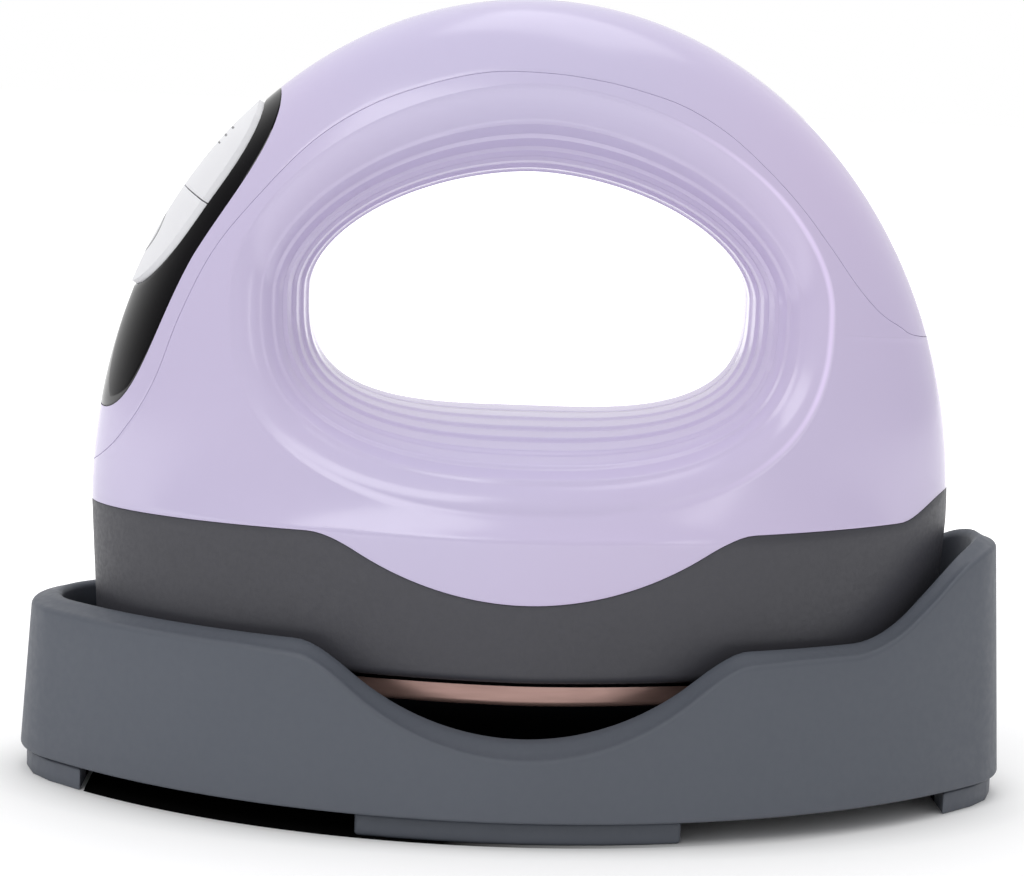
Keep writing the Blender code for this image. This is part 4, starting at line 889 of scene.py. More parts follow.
def moulded_surface(nodes, given):
    """Moulded plastic: slow patches between two tints, fine grain, and roughness that follows the grain."""
    place = nodes.place()
    patches = nodes.spread(nodes.noise(place, given["Patch Scale"], 1.5), 0, 1)
    grain = nodes.noise(place, given["Grain Scale"], 3.0)
    return (nodes.mix(patches, given["Tint"], given["Patch Tint"]),
            nodes.spread(grain, given["Smoothest"], given["Roughest"]),
            nodes.bump(grain, given["Grain Depth"]))


def brushed_surface(nodes, given):
    """Brushed metal: streaks along X in the tint, the roughness and the surface."""
    streaks = nodes.noise(nodes.place(scale=(STREAK_SQUEEZE, 1, 1)), given["Streak Scale"], 4.0)
    return (nodes.mix(nodes.spread(streaks, 0, 1), given["Tint"], given["Streak Tint"]),
            nodes.spread(streaks, given["Smoothest"], given["Roughest"]),
            nodes.bump(streaks, given["Streak Depth"]))


def grouped_material(name, group_name, surface, values, metallic=0.0, coat=0.0):
    """A material whose colour, roughness and normal come from a shared group with its own values."""
    group = bpy.data.node_groups.get(group_name) or new_group(group_name, surface, values)
    material = bpy.data.materials.new(name)
    material.use_nodes = True
    nodes = Nodes(material.node_tree)
    outputs = nodes.add("Group", values, node_tree=group).outputs
    for socket_name, value in (("Base Color", outputs["Colour"]), ("Roughness", outputs["Roughness"]),
                               ("Normal", outputs["Normal"]), ("Metallic", metallic), ("Coat Weight", coat),
                               ("Coat Roughness", COAT_ROUGHNESS)):
        nodes.give(socket_name, value)
    return material


def moulded(name, tint, patch_tint, rough, patch_scale, grain_scale=1500, grain_depth=0.00001, coat=0.0):
    values = {
        "Tint": tint, "Patch Tint": patch_tint, "Patch Scale": patch_scale, "Grain Scale": grain_scale,
        "Grain Depth": grain_depth, "Smoothest": rough[0], "Roughest": rough[1],
    }
    return grouped_material(name, "Moulded plastic", moulded_surface, values, coat=coat)


def brushed(name, tint, rough, streak_scale=900, metallic=1.0):
    values = {
        "Tint": tint, "Streak Tint": shade(tint, 0.86), "Streak Scale": streak_scale,
        "Streak Depth": 0.000004, "Smoothest": rough[0], "Roughest": rough[1],
    }
    return grouped_material(name, "Brushed metal", brushed_surface, values, metallic=metallic)


def steel_material(name, colours):
    """Zinc-plated steel, finely brushed."""
    return brushed(name, colours.steel, (0.22, 0.36), streak_scale=2200)


def plate_material(name, colours):
    """Satin coated metal, with painted shade: the casting over its flange is painted black."""
    material = brushed(name, colours.plate, (0.30, 0.38), metallic=0.7)
    nodes = Nodes(material.node_tree)
    level = nodes.split(nodes.place())[2]
    # Painted shade: black over the flange, where the gap under the skirt lies in shadow
    nodes.lay_over(nodes.math("GREATER_THAN", level, FLANGE_LEVEL - MERGE_DISTANCE), colours.black)
    return material


def leaf_mask(nodes, x, y, inset):
    """1 inside the stand's leaf-shaped plan set in by inset, and 0 outside."""
    sizes = bpy.context.scene.stand_sizes
    _, side_radius, side_y, _ = stand_arcs(sizes)
    across = nodes.math("ADD", nodes.math("ABSOLUTE", y), side_y)
    sides = nodes.math("LESS_THAN", nodes.radius(x, across), side_radius - inset)
    return nodes.product(sides, nodes.within(x, 0, sizes.stand_length / 2 - inset))


def stand_material(name, colours):
    """Moulded rubbery plastic, with painted shade deep inside the stand."""
    material = moulded(name, colours.stand, shade(colours.stand, 0.93), (0.50, 0.60), 20, 900, 0.000012)
    nodes = Nodes(material.node_tree)
    x, y, level = nodes.split(nodes.place())
    inset = STAND_DRAFT + bpy.context.scene.stand_sizes.stand_wall - PAINTED_SHADE_OVERLAP
    # Painted shade: deep inside the stand the colour is darkened and the specular reflection taken away
    painted_shade = nodes.product(leaf_mask(nodes, x, y, inset), nodes.ramp(level, *PAINTED_SHADE_LEVELS))
    nodes.lay_over(painted_shade, shade(colours.stand, 0.10))
    nodes.give("Specular IOR Level", nodes.product(nodes.invert(painted_shade), 0.5))
    return material


def lilac_material(name, colours):
    """Glossy lilac plastic, with a painted highlight: a lighter line along the ring's ridge at the right."""
    sizes = bpy.context.scene.press_sizes
    material = moulded(name, colours.lilac, colours.lilac_pink, (0.175, 0.205), 13, 260, 0.0000012)
    nodes = Nodes(material.node_tree)
    x, _, level = nodes.split(nodes.place())
    up = nodes.math("SUBTRACT", level, sizes.opening_level)
    half_long = sizes.opening_width / 2 + sizes.ring_side
    parts = []
    over = nodes.math("GREATER_THAN", up, 0.0)
    for ring, exponent, half in ((sizes.ring_top, RIDGE_EXPONENTS[0], over),
                                 (sizes.ring_bottom, RIDGE_EXPONENTS[1], nodes.invert(over))):
        powers = []
        for value, reach in ((x, half_long), (up, sizes.opening_height / 2 + ring)):
            share = nodes.math("DIVIDE", nodes.math("ABSOLUTE", value), reach)
            powers.append(nodes.math("POWER", share, exponent))
        away = nodes.math("ABSOLUTE", nodes.math("SUBTRACT", nodes.math("ADD", *powers), 1.0))
        parts.append(nodes.product(nodes.math("DIVIDE", away, exponent), half))
    # Painted highlight: the colour is made lighter in a thin line along the ridge, at the right and above its
    # lower part
    line = nodes.ramp(nodes.math("ADD", *parts), *PAINTED_HIGHLIGHT_SHARES)
    lit = nodes.product(line, nodes.ramp(x, *PAINTED_HIGHLIGHT_RIGHT), nodes.ramp(up, *PAINTED_HIGHLIGHT_RISE))
    nodes.lay_over(lit, shade(colours.lilac_pink, 1.30))
    return material


def board_material(name, colours):
    """Green lacquer over a circuit board, with straight copper tracks under it and round pads."""
    material = moulded(name, colours.board, shade(colours.board, 0.8), (0.32, 0.42), 120, coat=0.3)
    nodes = Nodes(material.node_tree)
    bricks = nodes.add("TexBrick", {
        "Vector": nodes.place(turn=(0, 0, radians(45))), "Scale": 260, "Mortar Size": 0.045,
        "Color1": (0, 0, 0), "Color2": (0, 0, 0), "Mortar": (1, 1, 1),
    })
    nodes.lay_over(bricks.outputs["Color"], shade(colours.board, 1.9))
    return material


def woven_material(name, colours):
    """Glass-fibre cloth: two crossed sets of threads."""
    tint = colours.insulation
    material = moulded(name, tint, shade(tint, 0.9), (0.75, 0.9), 90)
    nodes = Nodes(material.node_tree)
    threads = []
    for turn in (0, pi / 2):
        inputs = {"Vector": nodes.place(turn=(0, 0, turn)), "Scale": 420, "Distortion": 0.6}
        threads.append(nodes.add("TexWave", inputs).outputs["Fac"])
    weave = nodes.product(*threads)
    nodes.give("Base Color", nodes.mix(weave, shade(tint, 0.72), nodes.colour()))
    nodes.give("Normal", nodes.bump(weave, 0.00008))
    return material


def key_material(name, colours, side, symbol):
    """Satin white key with one small printed symbol, drawn in the panel's own plane."""
    material = moulded(name, colours.key, shade(colours.key, 0.97), (0.30, 0.38), 70, 1800)
    nodes = Nodes(material.node_tree)
    along, _, start = panel_frame(bpy.context.scene.press_sizes)
    middle = start + along * (KEYS_SHIFT + side * SYMBOL_PLACE)
    offset = nodes.vector_math("SUBTRACT", "Vector", nodes.place(), middle)
    up = nodes.vector_math("DOT_PRODUCT", "Value", offset, along)
    nodes.lay_over(symbol(nodes, up, nodes.split(offset)[1]), colours.print_grey)
    return material


def power_symbol(nodes, up, across):
    """An open ring with a bar in its gap."""
    gap = nodes.product(nodes.within(across, 0, POWER_GAP), nodes.math("GREATER_THAN", up, 0))
    ring = nodes.product(nodes.within(nodes.radius(up, across), POWER_RADIUS, STROKE), nodes.invert(gap))
    bar = nodes.product(nodes.within(across, 0, STROKE), nodes.within(up, *POWER_BAR))
    return nodes.math("MAXIMUM", ring, bar)


def heat_symbol(nodes, up, across):
    """A thermometer: a filled bulb under a stem with a thread in it, and marks beside the stem."""
    bulb = nodes.math("LESS_THAN", nodes.radius(nodes.math("ADD", up, BULB_DROP), across), BULB_RADIUS)
    thread = nodes.product(nodes.within(across, 0, STROKE), nodes.within(up, *THREAD_SPAN))
    stem = nodes.product(nodes.within(nodes.math("ABSOLUTE", across), STEM_RADIUS, FINE_STROKE),
                         nodes.within(up, *STEM_SPAN))
    steps = nodes.within(nodes.math("PINGPONG", nodes.math("ADD", up, 0.01), MARK_STEP), 0, FINE_STROKE)
    marks = nodes.product(nodes.within(across, *MARK_REACH), steps, nodes.within(up, *MARK_SPAN))
    return nodes.math("MAXIMUM", nodes.math("MAXIMUM", bulb, thread), nodes.math("MAXIMUM", stem, marks))


# Plain moulded finishes: colour, factor of its patches, range of roughness, scale of the patches, and
# where they differ from the usual, scale of the grain, depth of the grain and share of clear coat
MOULDED_FINISHES = {
    "charcoal": ("charcoal", 0.88, (0.42, 0.54), 22, 1600, 0.000022),
    "panel_black": ("panel", 1.4, (0.06, 0.08), 60, 300, 0.0000003),
    "silicone": ("rubber", 1.25, (0.62, 0.75), 300, 2400, 0.00002),
    "wire_red": ("wire", 0.85, (0.38, 0.5), 200),
    "led": ("led", 1.3, (0.10, 0.16), 500, 1500, 0.00001, 0.6),
    "blue": ("relay", 0.85, (0.38, 0.48), 150, 2000),
    "black": ("black", 1.3, (0.40, 0.52), 140, 1800, 0.00002),
}

# Finishes with a pattern or a mask of their own
MADE_FINISHES = {
    "lilac": lilac_material,
    "stand": stand_material,
    "plate": plate_material,
    "steel": steel_material,
    "board": board_material,
    "insulation": woven_material,
    "key_power": partial(key_material, side=-1, symbol=power_symbol),
    "key_heat": partial(key_material, side=1, symbol=heat_symbol),
}


def make_finish(name):
    """The named finish, made on its first use, and plain black where it has no description."""
    title = "Finish " + name
    ready = bpy.data.materials.get(title)
    if ready:
        return ready
    colours = bpy.context.scene.press_colours
    if name in MADE_FINISHES:
        return MADE_FINISHES[name](title, colours)
    tint_name, factor, *pattern = MOULDED_FINISHES.get(name, MOULDED_FINISHES["black"])
    tint = getattr(colours, tint_name)
    return moulded(title, tint, shade(tint, factor), *pattern)


# Panel plane

def panel_frame(sizes):
    """Direction along the panel, direction into the body, and the panel's middle on its plane."""
    half_length = sizes.body_length / 2
    x = -half_length * sqrt(1 - (PANEL_RISE / sizes.body_rise) ** 2)
    slope = atan2(-x * sizes.body_rise ** 2, PANEL_RISE * half_length ** 2) - PANEL_LEAN
    along = Vector((cos(slope), 0, sin(slope)))
    inward = Vector((sin(slope), 0, -cos(slope)))
    return along, inward, Vector((x, 0, WIDEST_LEVEL + PANEL_RISE))


def on_body(form, flat_point, inward):
    """Slide a point along the panel's inward direction onto the body's surface."""
    shallow, deep = -PANEL_OUTER_REACH, PANEL_REACH
    for _ in range(HALVINGS):
        depth = (shallow + deep) / 2
        if form.inside(flat_point + inward * depth):
            deep = depth
        else:
            shallow = depth
    return flat_point + inward * deep


def panel_outline(sizes, growth):
    """The panel's oval on its plane, from the side first."""
    along, _, start = panel_frame(sizes)
    ring = []
    for column in range(OVAL_COLUMNS):
        angle = 2 * pi * column / OVAL_COLUMNS
        reach, across = oval_point(angle, sizes.panel_length / 2 + growth, sizes.panel_width / 2 + growth,
                                   PANEL_EXPONENTS[cos(angle) < 0])
        across *= 1 + PANEL_TAPER_SHARE * max(2 * reach / sizes.panel_length, 0)
        ring.append(start + along * (PANEL_SHIFT + reach) + Vector((0, across, 0)))
    return ring


# Operators

class HEATPRESS_OT_shells(bpy.types.Operator):
    """Build the lilac front and back shells with the rolled ring round the finger opening"""
    bl_idname = "heatpress.shells"
    bl_label = "Lilac shells"

    def execute(self, context):
        sizes = context.scene.press_sizes
        form = BodyForm(sizes)
        columns = shell_columns(form)
        profiles = []
        for direction, end in columns:
            past = min(end + PROFILE_OVERRUN, form.outline_reach(direction))
            path = form.profile(direction, max(past, end))
            lengths = lengths_along(path)
            rows = shell_rows(form, lengths, distance_at(path, lengths, end))
            profiles.append([(direction, point) for point in form.softened(path, lengths, rows)])
        for name, side in (("front_shell", -1), ("back_shell", 1)):
            shape = new_grid([[form.place(*pair, side) for pair in profile] for profile in profiles])
            turn_outwards(shape, form.middle - Vector((0, side, 0)))
            give_wall(shape, sizes.wall, sizes.edge_radius)
            piece = to_object("lilac_" + name, shape)
            if side > 0:
                self.open_back(piece, form)
            finish_piece(piece, "press", "lilac", name)
        return {"FINISHED"}

    def open_back(self, piece, form):
        """Cut the gland's hole and the recesses of the three shell screws."""
        seat, outward = gland_seat(form)
        reach = outward * GLAND_CUT
        profile = [(0, 0), (0, GLAND_RADIUS), (2 * reach.length, GLAND_RADIUS), (2 * reach.length, 0)]
        cut(piece, to_object("gland_hole", lathe(profile, seat - reach, outward)))
        radius = SCREW_HEAD_RADIUS + SCREW_CLEARANCE
        profile = [(0, 0), (0, radius), (SCREW_CUT, radius), (SCREW_CUT, 0)]
        for x, level in SCREW_PLACES:
            start = Vector((x, SCREW_SHOULDER, level))
            cut(piece, to_object("screw_recess", lathe(profile, start, (0, 1, 0))))


def shell_rows(form, lengths, end):
    """Distances along a profile at which a shell has a row, close together as far as past the ridge."""
    start = lengths[RIB_ROWS - 1]
    ridge = lengths[len(RING_SHARES) - 1]
    knee = min(ridge + 2 * form.softness, start + RIDGE_ROWS_SHARE * (end - start))
    rows = lengths[:RIB_ROWS]
    rows += [start + (knee - start) * step / RIDGE_ROWS for step in range(1, RIDGE_ROWS + 1)]
    return rows + [knee + (end - knee) * step / DOME_ROWS for step in range(1, DOME_ROWS + 1)]


def gland_seat(form):
    """Where the cord gland's axis meets the back surface, and the direction square to it."""
    x, level = GLAND_PLACE
    step = 0.0006
    slope_x = (form.depth(x + step, level) - form.depth(x - step, level)) / (2 * step)
    slope_z = (form.depth(x, level + step) - form.depth(x, level - step)) / (2 * step)
    return Vector((x, form.depth(x, level), level)), Vector((-slope_x, 1, -slope_z)).normalized()


class HEATPRESS_OT_top_cover(bpy.types.Operator):
    """Build the lilac top cover, from its front seam over the crown to its back seam"""
    bl_idname = "heatpress.top_cover"
    bl_label = "Top cover"

    def execute(self, context):
        sizes = context.scene.press_sizes
        form = BodyForm(sizes)
        seam = even_points(cover_seam(form, form.half_gap), SEAM_COLUMNS)
        columns = [self.crossing(form, *ray_to(form, point)) for point in seam]
        for end in (0, -1):
            columns[end] = [columns[end][COVER_ROWS]] * len(columns[end])
        shape = new_grid(columns)
        turn_outwards(shape, form.middle)
        give_wall(shape, sizes.wall, sizes.edge_radius)
        piece = to_object("lilac_top_cover", shape)
        self.open_panel(piece, sizes)
        finish_piece(piece, "press", "lilac", "top_cover")
        return {"FINISHED"}

    def crossing(self, form, direction, seam_reach):
        """Points from the front seam over the middle plane to the back seam."""
        path = form.profile(direction, max(form.outline_reach(direction), seam_reach))
        lengths = lengths_along(path)
        start = distance_at(path, lengths, seam_reach)
        rows = [start + (lengths[-1] - start) * row / COVER_ROWS for row in range(COVER_ROWS + 1)]
        half = []
        for point in form.softened(path, lengths, rows):
            half.append(form.middle + Vector((direction[0] * point.x, -point.y, direction[1] * point.x)))
        half[-1].y = 0
        return half + [Vector((point.x, -point.y, point.z)) for point in reversed(half[:-1])]

    def open_panel(self, piece, sizes):
        """Cut the panel's oval out of the cover."""
        _, inward, _ = panel_frame(sizes)
        outline = panel_outline(sizes, sizes.seam_gap)
        tool = bmesh.new()
        corners = [tool.verts.new(point - inward * PANEL_OUTER_REACH) for point in outline]
        extrude(tool, [tool.faces.new(corners)], inward * (PANEL_OUTER_REACH + PANEL_REACH))
        cut(piece, to_object("panel_opening", tool))


class HEATPRESS_OT_panel(bpy.types.Operator):
    """Build the glossy black panel on the left shoulder, open in the middle for the keys"""
    bl_idname = "heatpress.panel"
    bl_label = "Black panel"

    def execute(self, context):
        sizes = context.scene.press_sizes
        form = BodyForm(sizes)
        along, inward, start = panel_frame(sizes)
        outer = panel_outline(sizes, 0)
        columns = []
        for column in range(OVAL_COLUMNS):
            reach, across = oval_point(2 * pi * column / OVAL_COLUMNS, sizes.keys_length / 2,
                                       sizes.keys_width / 2, KEYS_EXPONENT)
            inner = start + along * (KEYS_SHIFT + reach) + Vector((0, across, 0))
            row_points = [inner.lerp(outer[column], row / PANEL_ROWS) for row in range(PANEL_ROWS + 1)]
            columns.append([on_body(form, point, inward) for point in row_points])
        shape = new_grid(columns, closed=True)
        turn_outwards(shape, start + inward * FAR_INSIDE)
        push_down(shape, inward * sizes.wall, PANEL_EDGE)
        piece = to_object("black_panel", shape)
        finish_piece(piece, "press", "panel_black", "control_panel")
        return {"FINISHED"}


class HEATPRESS_OT_keys(bpy.types.Operator):
    """Build the two white keys that share one oval"""
    bl_idname = "heatpress.keys"
    bl_label = "White keys"

    def execute(self, context):
        sizes = context.scene.press_sizes
        form = BodyForm(sizes, -sizes.key_proud)
        along, inward, start = panel_frame(sizes)
        half_long = sizes.keys_length / 2 - sizes.key_gap
        half_wide = sizes.keys_width / 2 - sizes.key_gap
        for node, side, finish in (("power_key", -1, "key_power"), ("heat_key", 1, "key_heat")):
            columns = []
            for column in range(KEY_ROWS + 1):
                reach = sizes.key_gap / 2 + (half_long - sizes.key_gap / 2) * sin(pi / 2 * column / KEY_ROWS)
                edge = half_wide * max(1 - (reach / half_long) ** KEYS_EXPONENT, 0) ** (1 / KEYS_EXPONENT)
                rows = []
                for row in range(KEY_ROWS + 1):
                    across = edge * sin(pi / 2 * (2 * row / KEY_ROWS - 1))
                    flat = start + along * (KEYS_SHIFT + side * reach) + Vector((0, across, 0))
                    rows.append(on_body(form, flat, inward))
                columns.append(rows)
            shape = new_grid(columns)
            turn_outwards(shape, start + inward * FAR_INSIDE)
            push_down(shape, inward * KEY_DEPTH, KEY_EDGE, 4)
            piece = to_object("white_" + node, shape)
            finish_piece(piece, node, "key_white", node, finish)
        return {"FINISHED"}


class HEATPRESS_OT_skirt(bpy.types.Operator):
    """Build the charcoal skirt with the deck inside it"""
    bl_idname = "heatpress.skirt"
    bl_label = "Charcoal skirt"

    def execute(self, context):
        sizes = context.scene.press_sizes
        form = BodyForm(sizes)
        columns = [self.column(form, 2 * pi * column / SKIRT_COLUMNS) for column in range(SKIRT_COLUMNS)]
        shape = new_grid(columns, closed=True)
        turn_outwards(shape, Vector((0, 0, DECK_LEVEL)))
        give_wall(shape, sizes.wall, sizes.edge_radius)
        piece = to_object("charcoal_skirt", shape)
        inner = BodyForm(sizes, sizes.wall - DECK_OVERLAP)
        deck = bmesh.new()
        bmesh.ops.create_circle(deck, cap_ends=True, segments=SKIRT_COLUMNS // 4, radius=1)
        for corner in deck.verts:
            x, y = oval_point(atan2(corner.co.y, corner.co.x), *inner.section(DECK_LEVEL))
            corner.co = (x, y, DECK_LEVEL)
        push_down(deck, Vector((0, 0, DECK_TOP - DECK_LEVEL)), DECK_EDGE, 1)
        add_in(piece, deck)
        finish_piece(piece, "press", "charcoal", "skirt")
        return {"FINISHED"}

    def column(self, form, angle):
        """Points from the skirt's lower edge up to its seam."""
        points = []
        for turn in quarter_turns(FILLET_STEPS):
            inset = SKIRT_FILLET * (1 - sin(turn))
            level = SKIRT_LEVEL + SKIRT_FILLET * (1 - cos(turn))
            half_long, half_wide, exponent = form.section(level)
            x, y = oval_point(angle, half_long - inset, half_wide - inset, exponent)
            points.append(Vector((x, y, level)))
        top = WIDEST_LEVEL
        for _ in range(SEAM_ROUNDS):
            top = skirt_seam(oval_point(angle, *form.section(top))[0]) - form.half_gap
        bottom = points[-1].z
        for step in range(1, SKIRT_ROWS + 1):
            level = bottom + (top - bottom) * step / SKIRT_ROWS
            points.append(Vector((*oval_point(angle, *form.section(level)), level)))
        return points


class HEATPRESS_OT_heat_plate(bpy.types.Operator):
    """Build the coated heat plate with its rounded lower edge"""
    bl_idname = "heatpress.heat_plate"
    bl_label = "Heat plate"

    def execute(self, context):
        sizes = context.scene.press_sizes
        half_long, half_wide, exponent = BodyForm(sizes).section(SKIRT_LEVEL)
        core_inset = sizes.wall + CORE_GAP
        rings = [(PLATE_LEVEL, inset) for inset in PLATE_RING_INSETS]
        for turn in quarter_turns(FILLET_STEPS):
            level = PLATE_LEVEL + PLATE_FILLET * (1 - cos(turn))
            rings.append((level, PLATE_INSET + PLATE_FILLET * (1 - sin(turn))))
        rings += [(FLANGE_LEVEL, PLATE_INSET), (FLANGE_LEVEL, core_inset), (CORE_LEVEL, core_inset)]
        columns = []
        for column in range(PLATE_COLUMNS):
            angle = 2 * pi * column / PLATE_COLUMNS
            points = [Vector((*oval_point(angle, half_long - inset, half_wide - inset, exponent), level))
                      for level, inset in rings]
            columns.append([Vector((0, 0, PLATE_LEVEL))] + points + [Vector((0, 0, CORE_LEVEL))])
        shape = new_grid(columns, closed=True)
        turn_outwards(shape, Vector((0, 0, FLANGE_LEVEL)))
        piece = to_object("coated_heat_plate", shape)
        finish_piece(piece, "press", "plate", "heat_plate")
        return {"FINISHED"}


def stand_arcs(sizes):
    """Middle of the stand's tip arc, radius and offset of its side arcs, and half the tip arc's turn."""
    half_wide = sizes.stand_width / 2
    tip_x = sizes.stand_length / 2 - STAND_TIP_RADIUS
    side_radius = (tip_x ** 2 + half_wide ** 2 - STAND_TIP_RADIUS ** 2) / (2 * (half_wide - STAND_TIP_RADIUS))
    side_y = side_radius - half_wide
    return tip_x, side_radius, side_y, pi / 2 - atan2(tip_x, side_y)


def stand_plan(sizes):
    """The stand's leaf-shaped outline from above, as points and their inward directions."""
    tip_x, side_radius, side_y, tip_turn = stand_arcs(sizes)
    stretches = (
        (-tip_turn, tip_turn, STAND_TIP_STEPS, Vector((tip_x, 0, 0)), STAND_TIP_RADIUS),
        (tip_turn, pi - tip_turn, STAND_SIDE_STEPS, Vector((0, -side_y, 0)), side_radius),
        (pi - tip_turn, pi + tip_turn, STAND_TIP_STEPS, Vector((-tip_x, 0, 0)), STAND_TIP_RADIUS),
        (pi + tip_turn, 2 * pi - tip_turn, STAND_SIDE_STEPS, Vector((0, side_y, 0)), side_radius),
    )
    outline = []
    for start, end, steps, center, radius in stretches:
        for step in range(steps):
            turn = start + (end - start) * step / steps
            outward = Vector((cos(turn), sin(turn), 0))
            outline.append((center + outward * radius, -outward))
    return outline


def flat_ring(plan, inset, level):
    """The stand's outline at one level, set in by inset."""
    lift = Vector((0, 0, level))
    return [point + inward * inset + lift for point, inward in plan]


def rim_fall(x):
    """How far the rim's top falls from its inner to its outer edge."""
    dip_share = max(1 - (x / DIP_RADIUS) ** 2, 0)
    end_share = min(max((x - RAMP_START) / (STAND_TIP_RADIUS / 2), 0), 1)
    return RIM_FALL + DIP_FALL * dip_share + END_FALL * end_share


def outer_rim_ring(plan, inset, drop):
    """The stand's outline near the rim's outer edge, set in by inset and by the wall's draft."""
    ring = []
    for point, inward in plan:
        level = rim_level(point.x) - rim_fall(point.x) - drop
        place = point + inward * (inset + STAND_DRAFT * (level - FOOT_LEVEL) / STAND_DRAFT_HEIGHT)
        ring.append(Vector((place.x, place.y, rim_level(place.x) - rim_fall(place.x) - drop)))
    return ring


def inner_rim_ring(plan, inset, drop):
    """The stand's outline near the rim's inner edge."""
    places = [point + inward * inset for point, inward in plan]
    return [Vector((place.x, place.y, rim_level(place.x) - drop)) for place in places]


def rim_level(x):
    """Level of the stand's rim: low along its sides, dipped at the front and back, tall at one end."""
    ramp = RIM_HEIGHT + (x - RAMP_START) * RAMP_SLOPE
    height = soft_min(soft_max(RIM_HEIGHT, ramp, RIM_BLEND), END_HEIGHT, RIM_BLEND)
    if abs(x) < DIP_RADIUS:
        dip = DIP_HEIGHT + DIP_RADIUS - sqrt(DIP_RADIUS ** 2 - x * x)
        height = soft_min(height, dip, RIM_BLEND)
    return FOOT_LEVEL + height


class HEATPRESS_OT_stand(bpy.types.Operator):
    """Build the boat-shaped stand with its rests"""
    bl_idname = "heatpress.stand"
    bl_label = "Stand"

    def execute(self, context):
        sizes = context.scene.stand_sizes
        rows = self.rings(sizes)
        columns = [[ring[column % len(ring)] for ring in rows] for column in range(len(rows[1]))]
        shape = new_grid(columns, closed=True)
        bmesh.ops.recalc_face_normals(shape, faces=shape.faces)
        piece = to_object("moulded_stand", shape)
        height = REST_LEVEL - FLOOR_LEVEL
        profile = [(0, 0), (0, REST_RADIUS + REST_FLARE), (0.0004, REST_RADIUS + 0.0005),
                   (REST_FLARE, REST_RADIUS), (height - REST_EDGE, REST_RADIUS),
                   (height, REST_RADIUS - REST_EDGE), (height, 0)]
        for x in (-REST_X, REST_X):
            for y in (-REST_Y, REST_Y):
                add_in(piece, lathe(profile, Vector((x, y, FLOOR_LEVEL)), (0, 0, 1), REST_STEPS))
        finish_piece(piece, "stand", "stand", "stand_tray")
        return {"FINISHED"}

    def rings(self, sizes):
        """Rings from the middle of the underside, up the outer wall, over the rim and in to the floor."""
        plan = stand_plan(sizes)
        inner = STAND_DRAFT + sizes.stand_wall
        radius = sizes.rim_radius
        rows = [[Vector((0, 0, FOOT_LEVEL))], flat_ring(plan, POLE_INSET, FOOT_LEVEL)]
        for turn in quarter_turns(FILLET_STEPS):
            inset = STAND_BOTTOM_FILLET * (1 - sin(turn))
            rows.append(flat_ring(plan, inset, FOOT_LEVEL + STAND_BOTTOM_FILLET * (1 - cos(turn))))
        foot = rows[-1]
        outer_edge = [outer_rim_ring(plan, radius * (1 - cos(turn)), radius * (1 - sin(turn)))
                      for turn in quarter_turns(FILLET_STEPS)]
        inner_edge = [inner_rim_ring(plan, inner - radius * (1 - sin(turn)), radius * (1 - cos(turn)))
                      for turn in quarter_turns(FILLET_STEPS)]
        for share in (0.25, 0.5, 0.75):
            rows.append([low.lerp(high, share) for low, high in zip(foot, outer_edge[0])])
        rows += outer_edge
        for share in (0.33, 0.67):
            rows.append([low.lerp(high, share) for low, high in zip(outer_edge[-1], inner_edge[0])])
        rows += inner_edge
        for turn in quarter_turns(FILLET_STEPS):
            inset = inner + FLOOR_FILLET * (1 - cos(turn))
            rows.append(flat_ring(plan, inset, FLOOR_LEVEL + FLOOR_FILLET * (1 - sin(turn))))
        return rows + [flat_ring(plan, POLE_INSET, FLOOR_LEVEL), [Vector((0, 0, FLOOR_LEVEL))]]


class HEATPRESS_OT_rest_pads(bpy.types.Operator):
    """Build the four silicone pads that the plate rests on"""
    bl_idname = "heatpress.rest_pads"
    bl_label = "Rest pads"

    def execute(self, context):
        for number in range(1, 5):
            node = f"rest_pad_{number}"
            low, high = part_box(node)
            middle = (Vector(low) + Vector(high)) / 2
            height = high[2] - low[2]
            profile = [(0, 0), (0, REST_RADIUS - PAD_CHAMFER), (PAD_CHAMFER, REST_RADIUS)]
            for turn in quarter_turns(FILLET_STEPS):
                radius = REST_RADIUS - PAD_EDGE * (1 - cos(turn))
                profile.append((height - PAD_EDGE * (1 - sin(turn)), radius))
            dimple = height - PAD_DIMPLE_DEPTH
            profile += [(height, PAD_DIMPLE_RADIUS), (dimple, PAD_DIMPLE_RADIUS - PAD_DIMPLE_DEPTH),
                        (dimple, 0)]
            shape = lathe(profile, Vector((middle.x, middle.y, low[2])), (0, 0, 1), SMALL_ROUND_STEPS)
            piece = to_object(f"silicone_pad_{number}", shape)
            finish_piece(piece, "stand", "silicone", node)
        return {"FINISHED"}


class HEATPRESS_OT_cord_gland(bpy.types.Operator):
    """Build the black cord gland in the back shell"""
    bl_idname = "heatpress.cord_gland"
    bl_label = "Cord gland"

    def execute(self, context):
        form = BodyForm(context.scene.press_sizes)
        seat, outward = gland_seat(form)
        radius = GLAND_RADIUS - GLAND_GAP
        profile = [(0.0024, 0), (0.0024, 0.0029), (0.0003, 0.0029), (0.0001, 0.0030), (0, 0.0032),
                   (0, radius - 0.0005), (0.0001, radius - 0.0002), (0.0004, radius), (0.0050, radius),
                   (0.0050, radius + GLAND_FLANGE), (0.0064, radius + GLAND_FLANGE), (0.0064, 0)]
        piece = to_object("black_cord_gland", lathe(profile, seat + outward * GLAND_PROUD, -outward))
        finish_piece(piece, "press", "black", "cord_gland")
        return {"FINISHED"}


